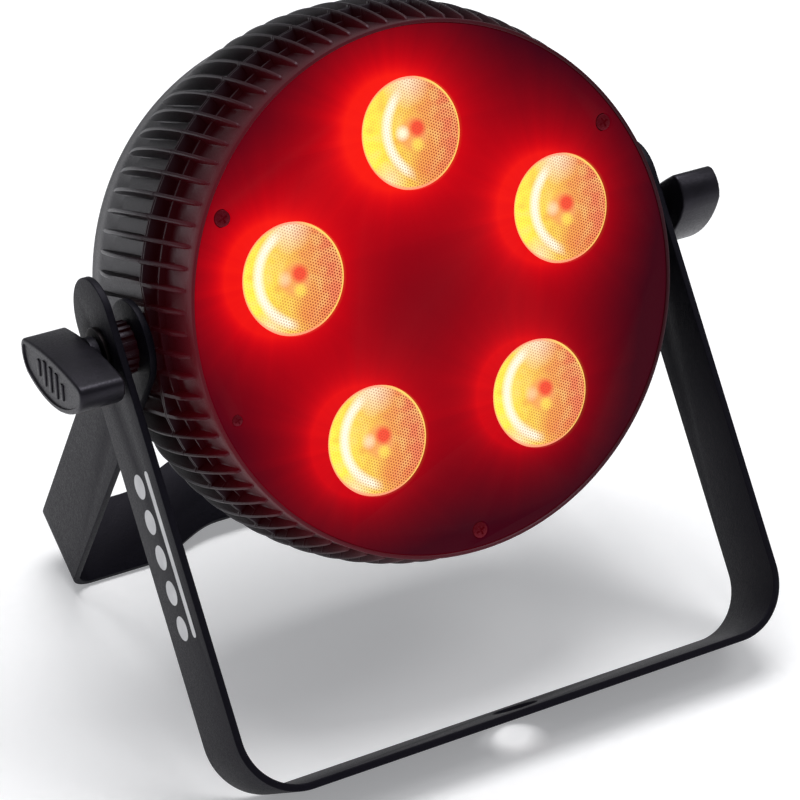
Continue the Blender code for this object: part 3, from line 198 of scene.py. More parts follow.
def turned(bm, profile, steps=48, at=(0.0, 0.0), finish=0):
    """Spins a profile of (radius, depth) points about the depth axis, closed on
    itself, or through the axis where it starts and ends there."""
    verts = [bm.verts.new((at[0] + radius, at[1], depth)) for radius, depth in profile]
    pairs = list(zip(verts, verts[1:]))
    if profile[0][0] > 0.0:
        pairs.append((verts[-1], verts[0]))
    before = set(bm.faces)
    bmesh.ops.spin(
        bm,
        geom=verts + [bm.edges.new(pair) for pair in pairs],
        cent=(at[0], at[1], 0.0),
        axis=(0.0, 0.0, 1.0),
        angle=math.tau,
        steps=steps,
        use_merge=True,
    )
    for face in set(bm.faces) - before:
        face.material_index = finish


def rounded(profile, radius, steps=3):
    """The same closed profile with its corners rounded, for turning."""
    made = []
    count = len(profile)
    for k, corner in enumerate(profile):
        here = Vector(corner)
        before, after = Vector(profile[k - 1]), Vector(profile[(k + 1) % count])
        on_axis = corner[0] == 0.0
        one, two = (before - here), (after - here)
        if on_axis or one.length < 1e-6 or two.length < 1e-6 or one.angle(two) > math.radians(160):
            made.append(corner)
            continue
        reach = min(radius, one.length * 0.45, two.length * 0.45)
        start, end = here + one.normalized() * reach, here + two.normalized() * reach
        for step in range(steps + 1):
            t = step / steps
            made.append(tuple(start * (1 - t) ** 2 + here * 2 * t * (1 - t) + end * t**2))
    return made


def block(bm, low, high, finish=0):
    size = [h - l for l, h in zip(low, high)]
    centre = [(h + l) / 2 for l, h in zip(low, high)]
    place = Matrix.Translation(centre) @ Matrix.Diagonal((*size, 1.0))
    made = bmesh.ops.create_cube(bm, size=1.0, matrix=place)["verts"]
    faces = {face for vert in made for face in vert.link_faces}
    for face in faces:
        face.material_index = finish
    return faces


def rod(bm, radius, low, high, at=(0.0, 0.0), segments=32, finish=0):
    made = bmesh.ops.create_cone(
        bm,
        cap_ends=True,
        segments=segments,
        radius1=radius,
        radius2=radius,
        depth=high - low,
        matrix=Matrix.Translation((at[0], at[1], (low + high) / 2)),
    )["verts"]
    faces = {face for vert in made for face in vert.link_faces}
    for face in faces:
        face.material_index = finish
    return faces


def bevel(bm, edges, width, steps, clamp=True):
    bmesh.ops.bevel(
        bm,
        geom=edges,
        offset=width,
        segments=steps,
        profile=0.5,
        affect="EDGES",
        clamp_overlap=clamp,
        material=-1,
    )


def points_of(items):
    return [item for item in items if isinstance(item, bmesh.types.BMVert)]


def edges_of(items):
    return [item for item in items if isinstance(item, bmesh.types.BMEdge)]


def in_mm(profile):
    return [(radius * MM, depth * MM) for radius, depth in profile]


def soften(bm, faces, width, steps=2, over=30.0):
    """Rounds the sharp edges of these faces."""
    edges = {edge for face in faces for edge in face.edges}
    sharp = [e for e in edges if len(e.link_faces) == 2 and e.calc_face_angle(0.0) > math.radians(over)]
    bevel(bm, sharp, width, steps)


def combined(bm, tool, kind):
    """The bmesh with the tool's shape cut from it, or joined to it."""
    objects = []
    for part in (bm, tool):
        bmesh.ops.recalc_face_normals(part, faces=part.faces)
        mesh = bpy.data.meshes.new("working")
        part.to_mesh(mesh)
        part.free()
        objects.append(bpy.data.objects.new("working", mesh))
        bpy.context.collection.objects.link(objects[-1])
    modifier = objects[0].modifiers.new("cut", "BOOLEAN")
    modifier.operation = kind
    modifier.solver = "EXACT"
    modifier.use_self = True
    modifier.object = objects[1]
    result = bmesh.new()
    result.from_mesh(objects[0].evaluated_get(bpy.context.evaluated_depsgraph_get()).to_mesh())
    for used in objects:
        bpy.data.objects.remove(used)
    bmesh.ops.remove_doubles(result, verts=result.verts, dist=1e-6)
    flat = [e for e in result.edges if len(e.link_faces) == 2 and e.calc_face_angle(1.0) < 0.002]
    bmesh.ops.dissolve_edges(result, edges=flat, use_verts=True)
    return result


# ------------------------------------------------------------------ materials


def linear(code):
    """An sRGB hex colour as the linear RGBA that shaders take."""
    parts = [int(code[k : k + 2], 16) / 255 for k in (1, 3, 5)]
    return (*[c / 12.92 if c <= 0.04045 else ((c + 0.055) / 1.055) ** 2.4 for c in parts], 1.0)


def add(tree, kind, *inputs, out=0, named=None, **settings):
    """A node with its settings, its inputs linked or set, and one output given back."""
    made = tree.nodes.new("ShaderNode" + kind)
    for key, value in settings.items():
        setattr(made, key, value)
    pairs = list(enumerate(inputs)) + list((named or {}).items())
    for key, value in pairs:
        if value is None:
            continue
        if isinstance(value, bpy.types.NodeSocket):
            tree.links.new(value, made.inputs[key])
        else:
            made.inputs[key].default_value = value
    return made.outputs[out] if made.outputs else None


def per_mm(millimetres):
    """The noise scale that makes features of about this size."""
    return 1.0 / (millimetres * MM)


def new_material(name):
    made = bpy.data.materials.new(name)
    made.use_nodes = True
    tree = made.node_tree
    tree.nodes.clear()
    return made, tree


def end_material(tree, **sockets):
    """The closing shader; sockets are named with _ for each space."""
    named = {key.replace("_", " "): value for key, value in sockets.items()}
    shader = add(tree, "BsdfPrincipled", named=named)
    add(tree, "OutputMaterial", shader)


def span(tree, dx, dy):
    """The length of (dx, dy), as nodes."""
    squares = [add(tree, "Math", value, 2.0, operation="POWER") for value in (dx, dy)]
    return add(tree, "Math", add(tree, "Math", *squares, operation="ADD"), operation="SQRT")


BLEND = {"out": 2, "data_type": "RGBA"}  # for a Mix of two colours
BLUISH = (0.86, 0.82, 1.0, 1.0)


def powder_coat():
    # Polyester powder coat, fine structure: matt black grit with a soft sheen
    # that shows each half-millimetre grain.
    made, tree = new_material("black_powder_coat_on_steel")
    coords = add(tree, "TexCoord", out=3)
    grit = add(tree, "TexNoise", named={"Vector": coords, "Scale": per_mm(0.55), "Detail": 3.0})
    peel = add(tree, "TexNoise", named={"Vector": coords, "Scale": per_mm(3.0), "Detail": 1.0})
    patches = add(tree, "TexNoise", named={"Vector": coords, "Scale": per_mm(35.0), "Detail": 2.0})
    colour = add(
        tree,
        "Mix",
        named={0: add(tree, "MapRange", grit, 0.35, 0.7), 6: linear("#06050b"), 7: linear("#0e0d15")},
        **BLEND,
    )
    colour = add(
        tree,
        "Mix",
        named={0: add(tree, "MapRange", patches, 0.3, 0.7, 0.0, 0.35), 6: colour, 7: linear("#090810")},
        **BLEND,
    )
    rough = add(tree, "MapRange", grit, 0.3, 0.7, 0.42, 0.6)
    height = add(
        tree,
        "Math",
        add(tree, "Math", grit, 0.7, operation="MULTIPLY"),
        add(tree, "Math", peel, 0.6, operation="MULTIPLY"),
        operation="ADD",
    )
    bump = add(tree, "Bump", named={"Strength": 0.35, "Distance": 0.0003, "Height": height})
    end_material(
        tree,
        Base_Color=colour,
        Roughness=rough,
        Specular_IOR_Level=0.14,
        Specular_Tint=BLUISH,
        Normal=bump,
    )
    return made


def housing_abs(head):
    # ABS moulded in a spark-eroded tool: near-black with a fine satin pebble. The
    # front band has the lenses' red glow painted on as emission, more on the left.
    made, tree = new_material("black_moulded_abs")
    coords = add(tree, "TexCoord", out=3)
    pebble = add(tree, "TexNoise", named={"Vector": coords, "Scale": per_mm(0.45), "Detail": 2.0})
    flow = add(tree, "TexNoise", named={"Vector": coords, "Scale": per_mm(18.0), "Detail": 2.0})
    colour = add(
        tree,
        "Mix",
        named={0: add(tree, "MapRange", flow, 0.35, 0.65), 6: linear("#070609"), 7: linear("#0d0b10")},
        **BLEND,
    )
    rough = add(tree, "MapRange", pebble, 0.3, 0.7, 0.36, 0.5)
    bump = add(tree, "Bump", named={"Strength": 0.25, "Distance": 0.0002, "Height": pebble})
    # painted red glow of the lenses: fades back from the face and is stronger on the left
    x, _, depth = add(tree, "SeparateXYZ", head_coordinates(tree, head)).node.outputs
    behind = add(tree, "Math", head.face, depth, operation="SUBTRACT")
    glow = add(tree, "Math", add(tree, "Math", behind, -0.011, operation="DIVIDE"), operation="EXPONENT")
    glow = add(
        tree,
        "Math",
        glow,
        add(tree, "MapRange", x, -head.rim, head.rim, 0.085, 0.02),
        operation="MULTIPLY",
    )
    end_material(
        tree,
        Base_Color=colour,
        Roughness=rough,
        Specular_IOR_Level=0.28,
        Specular_Tint=BLUISH,
        Normal=bump,
        Emission_Color=linear("#ff1238"),
        Emission_Strength=glow,
    )
    return made


def knob_nylon():
    # Glass-filled nylon, moulded: black satin, a little mottled by the fibres.
    made, tree = new_material("black_moulded_nylon")
    coords = add(tree, "TexCoord", out=3)
    fibres = add(tree, "TexNoise", named={"Vector": coords, "Scale": per_mm(0.7), "Detail": 4.0})
    mottle = add(tree, "TexNoise", named={"Vector": coords, "Scale": per_mm(5.0), "Detail": 2.0})
    colour = add(
        tree,
        "Mix",
        named={0: add(tree, "MapRange", mottle, 0.3, 0.7), 6: linear("#0a090d"), 7: linear("#131117")},
        **BLEND,
    )
    rough = add(tree, "MapRange", fibres, 0.3, 0.7, 0.3, 0.48)
    bump = add(tree, "Bump", named={"Strength": 0.3, "Distance": 0.0002, "Height": fibres})
    end_material(
        tree,
        Base_Color=colour,
        Roughness=rough,
        Specular_IOR_Level=0.28,
        Specular_Tint=BLUISH,
        Normal=bump,
    )
    return made


def simple_finish(name, dark, light, millimetres, rough, metallic, bump_height=0.0001, detail=2.0):
    """A moulded, plated or cut surface told apart by grain size, gloss and metal."""
    made, tree = new_material(name)
    coords = add(tree, "TexCoord", out=3)
    fine = add(tree, "TexNoise", named={"Vector": coords, "Scale": per_mm(millimetres), "Detail": detail})
    broad = add(
        tree, "TexNoise", named={"Vector": coords, "Scale": per_mm(millimetres * 12), "Detail": 2.0}
    )
    colour = add(
        tree,
        "Mix",
        named={0: add(tree, "MapRange", broad, 0.3, 0.7), 6: linear(dark), 7: linear(light)},
        **BLEND,
    )
    gloss = add(tree, "MapRange", fine, 0.3, 0.7, rough * 0.8, min(1.0, rough * 1.2))
    bump = add(tree, "Bump", named={"Strength": 0.2, "Distance": bump_height, "Height": fine})
    end_material(tree, Base_Color=colour, Roughness=gloss, Metallic=metallic, Normal=bump)
    return made


def screw_painted_red_glow():
    # Black oxide screw steel with the red glow of the face painted on: reddish colours and a faint red
    # emission
    made, tree = new_material("black_oxide_screw_painted_red_glow")
    coords = add(tree, "TexCoord", out=3)
    oil = add(tree, "TexNoise", named={"Vector": coords, "Scale": per_mm(0.5), "Detail": 2.0})
    # both reds are the painted glow of the face; the oil noise only varies their tone and gloss
    colour = add(
        tree,
        "Mix",
        named={0: add(tree, "MapRange", oil, 0.3, 0.7), 6: linear("#3a1216"), 7: linear("#52202a")},
        **BLEND,
    )
    end_material(
        tree,
        Base_Color=colour,
        Metallic=1.0,
        Roughness=add(tree, "MapRange", oil, 0.3, 0.7, 0.3, 0.42),
        Emission_Color=linear("#ff2040"),
        Emission_Strength=0.055,
    )
    return made


def face_paint(head):
    # Black stove enamel on sheet steel, with the red light of the lenses painted on
    # as emission: brightest round each lens, with faint rays, and darker to one side.
    made, tree = new_material("black_enamel_painted_red_glow")
    local = head_coordinates(tree, head)
    x, up, _ = add(tree, "SeparateXYZ", local).node.outputs
    total = None
    for px, py in lens_places(head):
        dx = add(tree, "Math", x, px - 0.0062, operation="SUBTRACT")
        dy = add(tree, "Math", up, py + 0.0015, operation="SUBTRACT")
        away = add(tree, "Math", span(tree, dx, dy), head.window, operation="SUBTRACT")
        away = add(tree, "Math", away, 0.0, operation="MAXIMUM")
        turn = add(tree, "Math", dy, dx, operation="ARCTAN2")
        rays = {"W": turn, "Scale": 5.0, "Detail": 3.0}
        rays = add(tree, "TexNoise", named=rays, noise_dimensions="1D")
        rays = add(tree, "MapRange", rays, 0.3, 0.75, 0.95, 1.06)
        # a strong narrow glow, and a wide one that carries the rays
        parts = []
        for fade, strength in ((-0.003, 0.26), (-0.0155, 0.56)):
            part = add(tree, "Math", away, fade, operation="DIVIDE")
            part = add(tree, "Math", part, operation="EXPONENT")
            parts.append(add(tree, "Math", part, strength, operation="MULTIPLY"))
        near, wide = parts
        wide = add(tree, "Math", wide, rays, operation="MULTIPLY")
        glow = add(tree, "Math", near, wide, operation="ADD")
        total = glow if total is None else add(tree, "Math", total, glow, operation="ADD")
    across = add(tree, "Math", x, -1.7, operation="MULTIPLY")
    side = add(tree, "Math", up, 5.6, operation="MULTIPLY")
    side = add(tree, "Math", across, side, operation="ADD")
    side = add(tree, "Math", side, 1.0, operation="ADD")
    total = add(tree, "Math", total, -0.068, operation="ADD")
    total = add(tree, "Math", total, side, operation="MULTIPLY")
    total = add(tree, "Math", total, 0.045, operation="MAXIMUM")
    red = add(tree, "Math", total, 1.0, 0.5, operation="SMOOTH_MIN")
    green = add(tree, "Math", add(tree, "Math", red, 6.0, operation="POWER"), 0.012, operation="MULTIPLY")
    green = add(tree, "Math", green, 0.0006, operation="ADD")
    colour = add(tree, "CombineColor", red, green, 0.0058)
    coords = add(tree, "TexCoord", out=3)
    fine = add(tree, "TexNoise", named={"Vector": coords, "Scale": per_mm(0.6), "Detail": 2.0})
    bump = add(tree, "Bump", named={"Strength": 0.12, "Distance": 0.0002, "Height": fine})
    rough = add(tree, "MapRange", fine, 0.3, 0.7, 0.35, 0.5)
    end_material(
        tree,
        Base_Color=linear("#030102"),
        Roughness=rough,
        Specular_IOR_Level=0.04,
        Normal=bump,
        Emission_Color=colour,
        Emission_Strength=1.0,
    )
    return made


def head_coordinates(tree, head):
    """Object coordinates turned into the head's own axes."""
    back = head_place(head).inverted()
    return add(
        tree,
        "Mapping",
        add(tree, "TexCoord", out=3),
        tuple(back.translation),
        tuple(back.to_euler()),
    )


CRESCENT_RADIUS = 16.0  # mm
# The beads are drawn at 1 mm where the real ones are about 0.75 mm.
BEAD_WAVE = math.tau / (1.0 * math.sqrt(3) / 2)

# Soft spots on a lens: x, y, radius and softness in mm, share and colour.
LENS_SPOTS = (
    (1.5, 17.0, 5.0, 4.0, 0.75, "#fdeed2"),  # pale reflection at the top
    (-10.5, -13.5, 3.5, 3.5, 0.6, "#fde6cf"),  # pale reflection at the lower left
    (4.0, -13.0, 4.0, 4.0, 0.55, "#e9573c"),
    (0.6, -0.4, 5.2, 1.0, 0.6, "#ef8f5a"),  # the reflector round the chip
    (1.6, -4.2, 2.0, 0.9, 0.8, "#ffe25a"),
    (-3.2, 0.6, 1.9, 1.1, None, "#fffbd8"),  # each lens has its own share
    (2.4, 1.2, 2.7, 1.0, 0.9, "#ee3a2c"),  # the chip
)


def lens_acrylic(head, number, centre, crescent, bright):
    # Moulded acrylic optic with a beaded front: amber light through small round
    # beads, a pale crescent to one side and the red chip a little off its centre.
    made, tree = new_material(f"beaded_acrylic_lens_{number}")
    local = head_coordinates(tree, head)
    shift = add(tree, "VectorMath", local, (centre[0], centre[1], 0.0), operation="SUBTRACT")
    shift = add(tree, "VectorMath", shift, named={"Scale": 1.0 / MM}, operation="SCALE")
    x, up, _ = add(tree, "SeparateXYZ", shift).node.outputs

    def distance(cx, cy):
        dx = add(tree, "Math", x, cx, operation="SUBTRACT")
        return span(tree, dx, add(tree, "Math", up, cy, operation="SUBTRACT"))

    radius = distance(0.0, 0.0)
    clouds = add(tree, "TexNoise", named={"Vector": shift, "Scale": 0.2, "Detail": 1.0})
    # crescent: the part of a wide ring that faces the brighter side
    away = add(
        tree, "Math", distance(CRESCENT_RADIUS - crescent, 0.2), CRESCENT_RADIUS, operation="SUBTRACT"
    )
    ring = add(tree, "MapRange", add(tree, "Math", away, operation="ABSOLUTE"), 2.3, 0.5)
    facing = add(tree, "MapRange", x, -0.5, -4.5)
    layers = [
        (add(tree, "MapRange", x, -15.0, 13.0), "#f08a5c"),
        (add(tree, "MapRange", clouds, 0.5, 0.75, 0.0, 0.3), "#ea6a4c"),
        (add(tree, "MapRange", clouds, 0.5, 0.25, 0.0, 0.45), "#fbdf86"),
        (add(tree, "Math", ring, facing, operation="MULTIPLY"), "#fffbe0"),
    ]
    for cx, cy, size, soft, share, tint in LENS_SPOTS:
        spot = add(tree, "MapRange", distance(cx, cy), size + soft, size - soft)
        share = bright if share is None else share
        layers.append((add(tree, "Math", spot, share, operation="MULTIPLY"), tint))
    # beads: dark red gaps between them, deeper to the far side
    waves = []
    for turn in (0.0, 60.0, 120.0):
        kx, ky = polar(BEAD_WAVE, turn)
        kx = add(tree, "Math", x, kx, operation="MULTIPLY")
        ky = add(tree, "Math", up, ky, operation="MULTIPLY")
        phase = add(tree, "Math", kx, ky, operation="ADD")
        waves.append(add(tree, "Math", phase, operation="COSINE"))
    hexes = add(tree, "Math", waves[0], waves[1], operation="ADD")
    hexes = add(tree, "Math", hexes, waves[2], operation="ADD")
    dots = add(tree, "MapRange", hexes, -0.4, 1.3)
    slant = add(tree, "Math", up, 0.25, operation="MULTIPLY")
    slant = add(tree, "Math", x, slant, operation="SUBTRACT")
    depth = add(tree, "MapRange", slant, -12.0, 12.0, 0.22, 1.0)
    dots = add(tree, "Math", dots, depth, operation="MULTIPLY")
    inner = add(tree, "MapRange", radius, 4.0, 7.0, 0.45, 1.0)
    layers.append((add(tree, "Math", dots, inner, operation="MULTIPLY"), "#8c1c10"))
    colour = linear("#fff04e")
    for share, tint in layers:
        colour = add(tree, "Mix", named={0: share, 6: colour, 7: linear(tint)}, **BLEND)
    # the smooth edge
    brim = add(tree, "MapRange", x, 4.0, 12.0)
    brim = add(tree, "Mix", named={0: brim, 6: linear("#ff9c7c"), 7: linear("#ffe070")}, **BLEND)
    edge = add(tree, "Math", add(tree, "MapRange", radius, 17.3, 17.9), 0.85, operation="MULTIPLY")
    colour = add(tree, "Mix", named={0: edge, 6: colour, 7: brim}, **BLEND)
    bump = add(tree, "Bump", named={"Strength": 0.2, "Distance": 0.0002, "Height": hexes})
    end_material(
        tree,
        Base_Color=linear("#3a1408"),
        Roughness=0.25,
        IOR=1.49,
        Specular_IOR_Level=0.3,
        Normal=bump,
        Emission_Color=colour,
        Emission_Strength=1.12,
    )
    return made


def lens_places(head):
    return [polar(head.pitch, 90.0 + 360.0 * n / head.lenses) for n in range(head.lenses)]


FINISHES = {}


def finish(name):
    """A shared material, made when it is first asked for."""
    makers = {
        "powder": powder_coat,
        "housing": lambda: housing_abs(bpy.context.scene.parlight_head),
        "nylon": knob_nylon,
        # Black oxide on a hardened screw: dark, slightly brown, oily sheen
        "black_screw": lambda: simple_finish(
            "black_oxide_screw_steel", "#1a1718", "#2b2627", 0.4, 0.35, 1.0
        ),
        # The same screws in the face, with the red light of the lenses beside them painted on
        "screw_painted_red_glow": screw_painted_red_glow,
        # Zinc plating: pale grey metal, a little cloudy
        "zinc": lambda: simple_finish("bright_zinc_plated_steel", "#a9abb0", "#c6c8cc", 0.6, 0.28, 1.0),
        # Nickel plated die casting, satin
        "nickel": lambda: simple_finish("satin_nickel_die_casting", "#8f8c88", "#a8a5a0", 0.5, 0.32, 1.0),
        # Gold flash on the contact pins
        "gold": lambda: simple_finish("gold_flashed_contact", "#c9a045", "#e0bb66", 0.8, 0.22, 1.0),
        # Turned brass, bright with fine tool marks
        "brass": lambda: simple_finish("turned_brass", "#b08a3e", "#caa45a", 0.5, 0.25, 1.0),
        # Silicone rubber key mat, dull and slightly dusty
        "rubber": lambda: simple_finish("moulded_silicone_rubber", "#19181a", "#242325", 0.8, 0.75, 0.0),
        # Socket insert, glass-filled polyamide: dark grey, dull
        "socket": lambda: simple_finish("black_polyamide_socket", "#121113", "#1d1c1e", 0.6, 0.5, 0.0),
        # Smoked polycarbonate over the display: dark and glossy
        "smoked": lambda: simple_finish(
            "smoked_polycarbonate", "#060507", "#0c090d", 6.0, 0.08, 0.0, 0.00002
        ),
        # Extruded aluminium, mill finish
        "aluminium": lambda: simple_finish("mill_finish_aluminium", "#a3a5a8", "#b9bbbe", 0.7, 0.35, 1.0),
        # Solder-masked glass-epoxy board
        "board": lambda: simple_finish("green_solder_mask", "#0d3b22", "#14502f", 1.2, 0.35, 0.0),
        # Screen-print ink on the arm: flat pale grey
        "ink": lambda: simple_finish("pale_screen_print_ink", "#c9c9cc", "#dcdcde", 0.5, 0.55, 0.0),
        # Clear domed chip, lit deep red
        "chip": lambda: simple_finish("red_led_chip", "#7a1408", "#a82010", 0.8, 0.2, 0.0),
    }
    if name not in FINISHES:
        FINISHES[name] = makers[name]()
    return FINISHES[name]


# ------------------------------------------------------------------ housing


def circle_through(first, second, third):
    """The circle through three (depth, radius) points: its centre and radius."""
    (ax, ay), (bx, by), (cx, cy) = first, second, third
    d = 2 * (ax * (by - cy) + bx * (cy - ay) + cx * (ay - by))
    a2, b2, c2 = ax * ax + ay * ay, bx * bx + by * by, cx * cx + cy * cy
    ux = (a2 * (by - cy) + b2 * (cy - ay) + c2 * (ay - by)) / d
    uy = (a2 * (cx - bx) + b2 * (ax - cx) + c2 * (bx - ax)) / d
    return ux, uy, math.hypot(ax - ux, ay - uy)


def skin_radius(head, depth):
    """The housing between its fins."""
    if depth > head.parting:
        end, radius = head.fin_front, head.rim
    else:
        end, radius = head.fin_tip, head.fin_tip_radius
    share = min(1.0, (depth - head.parting) / (end - head.parting))
    return head.parting_radius + (radius - head.parting_radius) * share


def fin_height(head, depth):
    """How far the fins stand out at this depth."""
    centre, middle, radius = circle_through(
        (head.fin_front, head.rim + head.fin_step),
        (head.parting, head.parting_radius + head.fin_height),
        (head.fin_tip, head.fin_tip_radius),
    )
    top = middle + math.sqrt(radius**2 - (depth - centre) ** 2)
    return max(0.0, top - skin_radius(head, depth))


def ribbed_shell(head, rows):
    """A closed ring from rows of (depth, radius, fin height, ridge height), made
    as one fin's share of the ring and spun round."""
    pitch = math.tau / head.fins
    half_top, half_base = head.fin_top / 2, head.fin_base / 2
    gap = pitch / 2
    offsets = (half_base + 0.35 * MM, half_base, half_top + 0.1 * MM, half_top * 0.55)
    shares = (0.0, 0.07, 0.93, 1.0)
    points = [(-gap, 0.0)] + [(-o, s) for o, s in zip(offsets, shares)]
    points += [(o, s) for o, s in zip(offsets[::-1], shares[::-1])] + [(gap, 0.0)]
    bm = bmesh.new()
    across, along = len(points) - 1, len(rows) - 1
    bmesh.ops.create_grid(bm, x_segments=across, y_segments=along, size=0.5)
    for vert in bm.verts:
        column = round((vert.co.x + 0.5) * across)
        depth, radius, fin, ridge = rows[round((vert.co.y + 0.5) * along)]
        offset, share = points[column]
        narrow = min(1.0, math.sqrt(max(fin, 0.0) / (2.0 * MM)) * 0.8 + 0.2)
        turn = offset if abs(offset) == gap else offset * narrow / radius
        out = radius + max(fin * share, ridge)
        vert.co = (out * math.cos(turn), out * math.sin(turn), depth)
    bmesh.ops.spin(
        bm,
        geom=bm.verts[:] + bm.edges[:] + bm.faces[:],
        cent=(0.0, 0.0, 0.0),
        axis=(0.0, 0.0, 1.0),
        angle=math.tau - pitch,
        steps=head.fins - 1,
        use_duplicate=True,
    )
    tidy(bm, 2e-6)
    for vert in bm.verts:
        vert.co.x = max(-head.side_flat, min(head.side_flat, vert.co.x))
    return bm


def flange_rows(head, direction):
    """Rows of the raised band along the parting line, away from it."""
    start = head.parting + direction * 0.15 * MM
    rows = []
    for step, share in ((0.0, 0.72), (0.18, 0.8), (0.75, 0.8), (0.95, 0.7), (1.25, 0.0)):
        depth = start + direction * step * MM
        height = fin_height(head, depth)
        rows.append((depth, skin_radius(head, depth), height, height * share))
    return rows


class PARLIGHT_OT_front_housing(Operator):
    """Moulded front half: fins with a cross ridge, parting flange, smooth rim and ledge"""

    bl_idname = "parlight.front_housing"
    bl_label = "Front housing"

    def execute(self, context):
        head = context.scene.parlight_head
        rows = flange_rows(head, 1.0)
        ridge = 18.5 * MM
        marks = [12.6, 14.0, 15.5, 17.0, 17.8]
        rows += [self.row(head, depth * MM, 0.0) for depth in marks]
        for step, share in ((-0.55, 0.0), (-0.4, 0.45), (0.4, 0.45), (0.55, 0.0)):
            rows.append(self.row(head, ridge + step * MM, share))
        count = 9
        first, last = 19.6 * MM, head.fin_front - 0.5 * MM
        rows += [self.row(head, first + (last - first) * k / count, 0.0) for k in range(count + 1)]
        end = head.fin_front
        step = head.fin_step
        rows += [
            (end - 0.1 * MM, head.rim, step * 0.9, 0.0), (end + 0.25 * MM, head.rim, step * 0.55, 0.0)
        ]
        rows.append((end + 0.5 * MM, head.rim, 0.0, 0.0))
        inner = head.rim - 1.3 * MM
        wall = head.rim - head.wall
        ledge_front = head.plate_front - head.plate_thickness - 0.3 * MM
        plain = [
            (end + 1.2 * MM, head.rim),
            (head.face - 0.45 * MM, head.rim),
            (head.face - 0.12 * MM, head.rim - 0.14 * MM),
            (head.face, head.rim - 0.45 * MM),
            (head.face, inner + 0.3 * MM),
            (head.face - 0.3 * MM, inner),
            (ledge_front, inner),
            (ledge_front, wall - 7.0 * MM),
            (ledge_front - 2.0 * MM, wall - 7.0 * MM),
            (ledge_front - 2.0 * MM, wall),
            (rows[0][0], wall),
        ]
        rows += [(depth, radius, 0.0, 0.0) for depth, radius in plain]
        rows.append(rows[0])
        bm = ribbed_shell(head, rows)
        piece(
            "front_housing",
            bm,
            head_place(head),
            "head",
            ["front_shell"],
            [finish("housing")],
        )
        return {"FINISHED"}

    @staticmethod
    def row(head, depth, share):
        height = fin_height(head, depth)
        return (depth, skin_radius(head, depth), height, height * share)


PANEL_RADIUS = 76.0 * MM
PANEL_THICKNESS = 2.5 * MM


class PARLIGHT_OT_rear_housing(Operator):
    """Moulded rear half: fins that run out to points, round back corner and a cut panel"""

    bl_idname = "parlight.rear_housing"
    bl_label = "Rear housing"

    def execute(self, context):
        head = context.scene.parlight_head
        rows = flange_rows(head, -1.0)
        first, last, count = 8.2 * MM, head.fin_tip, 22
        for k in range(count + 1):
            depth = first + (last - first) * k / count
            rows.append((depth, skin_radius(head, depth), fin_height(head, depth), 0.0))
        for share in (0.35, 0.7):
            depth = head.fin_tip + (head.shoulder - head.fin_tip) * share
            radius = head.fin_tip_radius + (head.shoulder_radius - head.fin_tip_radius) * share
            rows.append((depth, radius, 0.0, 0.0))
        steps = 8
        for step in range(steps + 1):
            turn = math.pi / 2 * step / steps
            radius = head.shoulder_radius - head.corner * (1 - math.cos(turn))
            rows.append((head.shoulder + (head.back - head.shoulder) * math.sin(turn), radius, 0.0, 0.0))
        inside = head.back + PANEL_THICKNESS
        wall = head.rim - head.wall
        plain = [
            (head.back, PANEL_RADIUS + 0.3 * MM),
            (head.back + 0.3 * MM, PANEL_RADIUS),
            (inside, PANEL_RADIUS),
            (inside, head.shoulder_radius - head.corner - head.wall),
            (head.shoulder, head.shoulder_radius - head.wall),
            (rows[0][0], wall),
        ]
        rows += [(depth, radius, 0.0, 0.0) for depth, radius in plain]
        rows.append(rows[0])
        bm = ribbed_shell(head, rows)
        self.clear_bosses(bm, head)
        self.add_panel(bm, head)
        for side in SIDES.values():
            boss = bmesh.new()
            profile = rounded([(9.6, 91.5), (9.6, 80.0), (7.3, 80.0), (7.3, 91.5)], 0.4)
            turned(boss, in_mm(profile), 48)
            tidy(boss)
            place = Matrix.Translation((0.0, head.drop, 0.0)) @ Matrix.Rotation(
                side * math.pi / 2, 4, "Y"
            )
            bmesh.ops.transform(boss, matrix=place, verts=boss.verts)
            join(bm, boss)
        bmesh.ops.recalc_face_normals(bm, faces=bm.faces)
        piece(
            "rear_housing",
            bm,
            head_place(head),
            "head",
            ["rear_shell"],
            [finish("housing")],
        )
        return {"FINISHED"}

    @staticmethod
    def clear_bosses(bm, head):
        """The fins stop short of the round bosses on the tilt axis."""
        for vert in bm.verts:
            beside = math.hypot(vert.co.y - head.drop, vert.co.z)
            radius = math.hypot(vert.co.x, vert.co.y)
            if beside < 10.6 * MM and abs(vert.co.x) > 80.0 * MM and radius > head.rim - head.wall + MM:
                skin = skin_radius(head, vert.co.z)
                scale = min(1.0, skin / radius)
                vert.co.x *= scale
                vert.co.y *= scale

    @staticmethod
    def add_panel(bm, head):
        panel = bmesh.new()
        inside = head.back + PANEL_THICKNESS
        rod(panel, PANEL_RADIUS - 0.25 * MM, head.back + 0.15 * MM, inside, segments=128)
        cut = bmesh.new()
        low, high = head.back - 2 * MM, inside + 2 * MM
        for at, radius in round_panel_holes():
            rod(cut, radius, low, high, at, 40)
        for at, size, room in square_panel_holes():
            half = (size[0] / 2 + room, size[1] / 2 + room)
            block(cut, (at[0] - half[0], at[1] - half[1], low), (at[0] + half[0], at[1] + half[1], high))
        panel = combined(panel, cut, "DIFFERENCE")
        soften(panel, panel.faces, 0.2 * MM, 2, 60.0)
        join(bm, panel)
        for at in REAR_SCREWS:
            well = bmesh.new()
            profile = [(3.6, -56.6), (5.2, -56.6), (5.2, 9.5), (1.9, 9.5), (1.9, -12.0), (3.6, -12.0)]
            turned(well, in_mm(profile), 32, at)
            tidy(well)
            join(bm, well)


def join(bm, other):
    """Adds another bmesh's faces to this one."""
    mesh = bpy.data.meshes.new("joining")
    other.to_mesh(mesh)
    other.free()
    bm.from_mesh(mesh)
    bpy.data.meshes.remove(mesh)


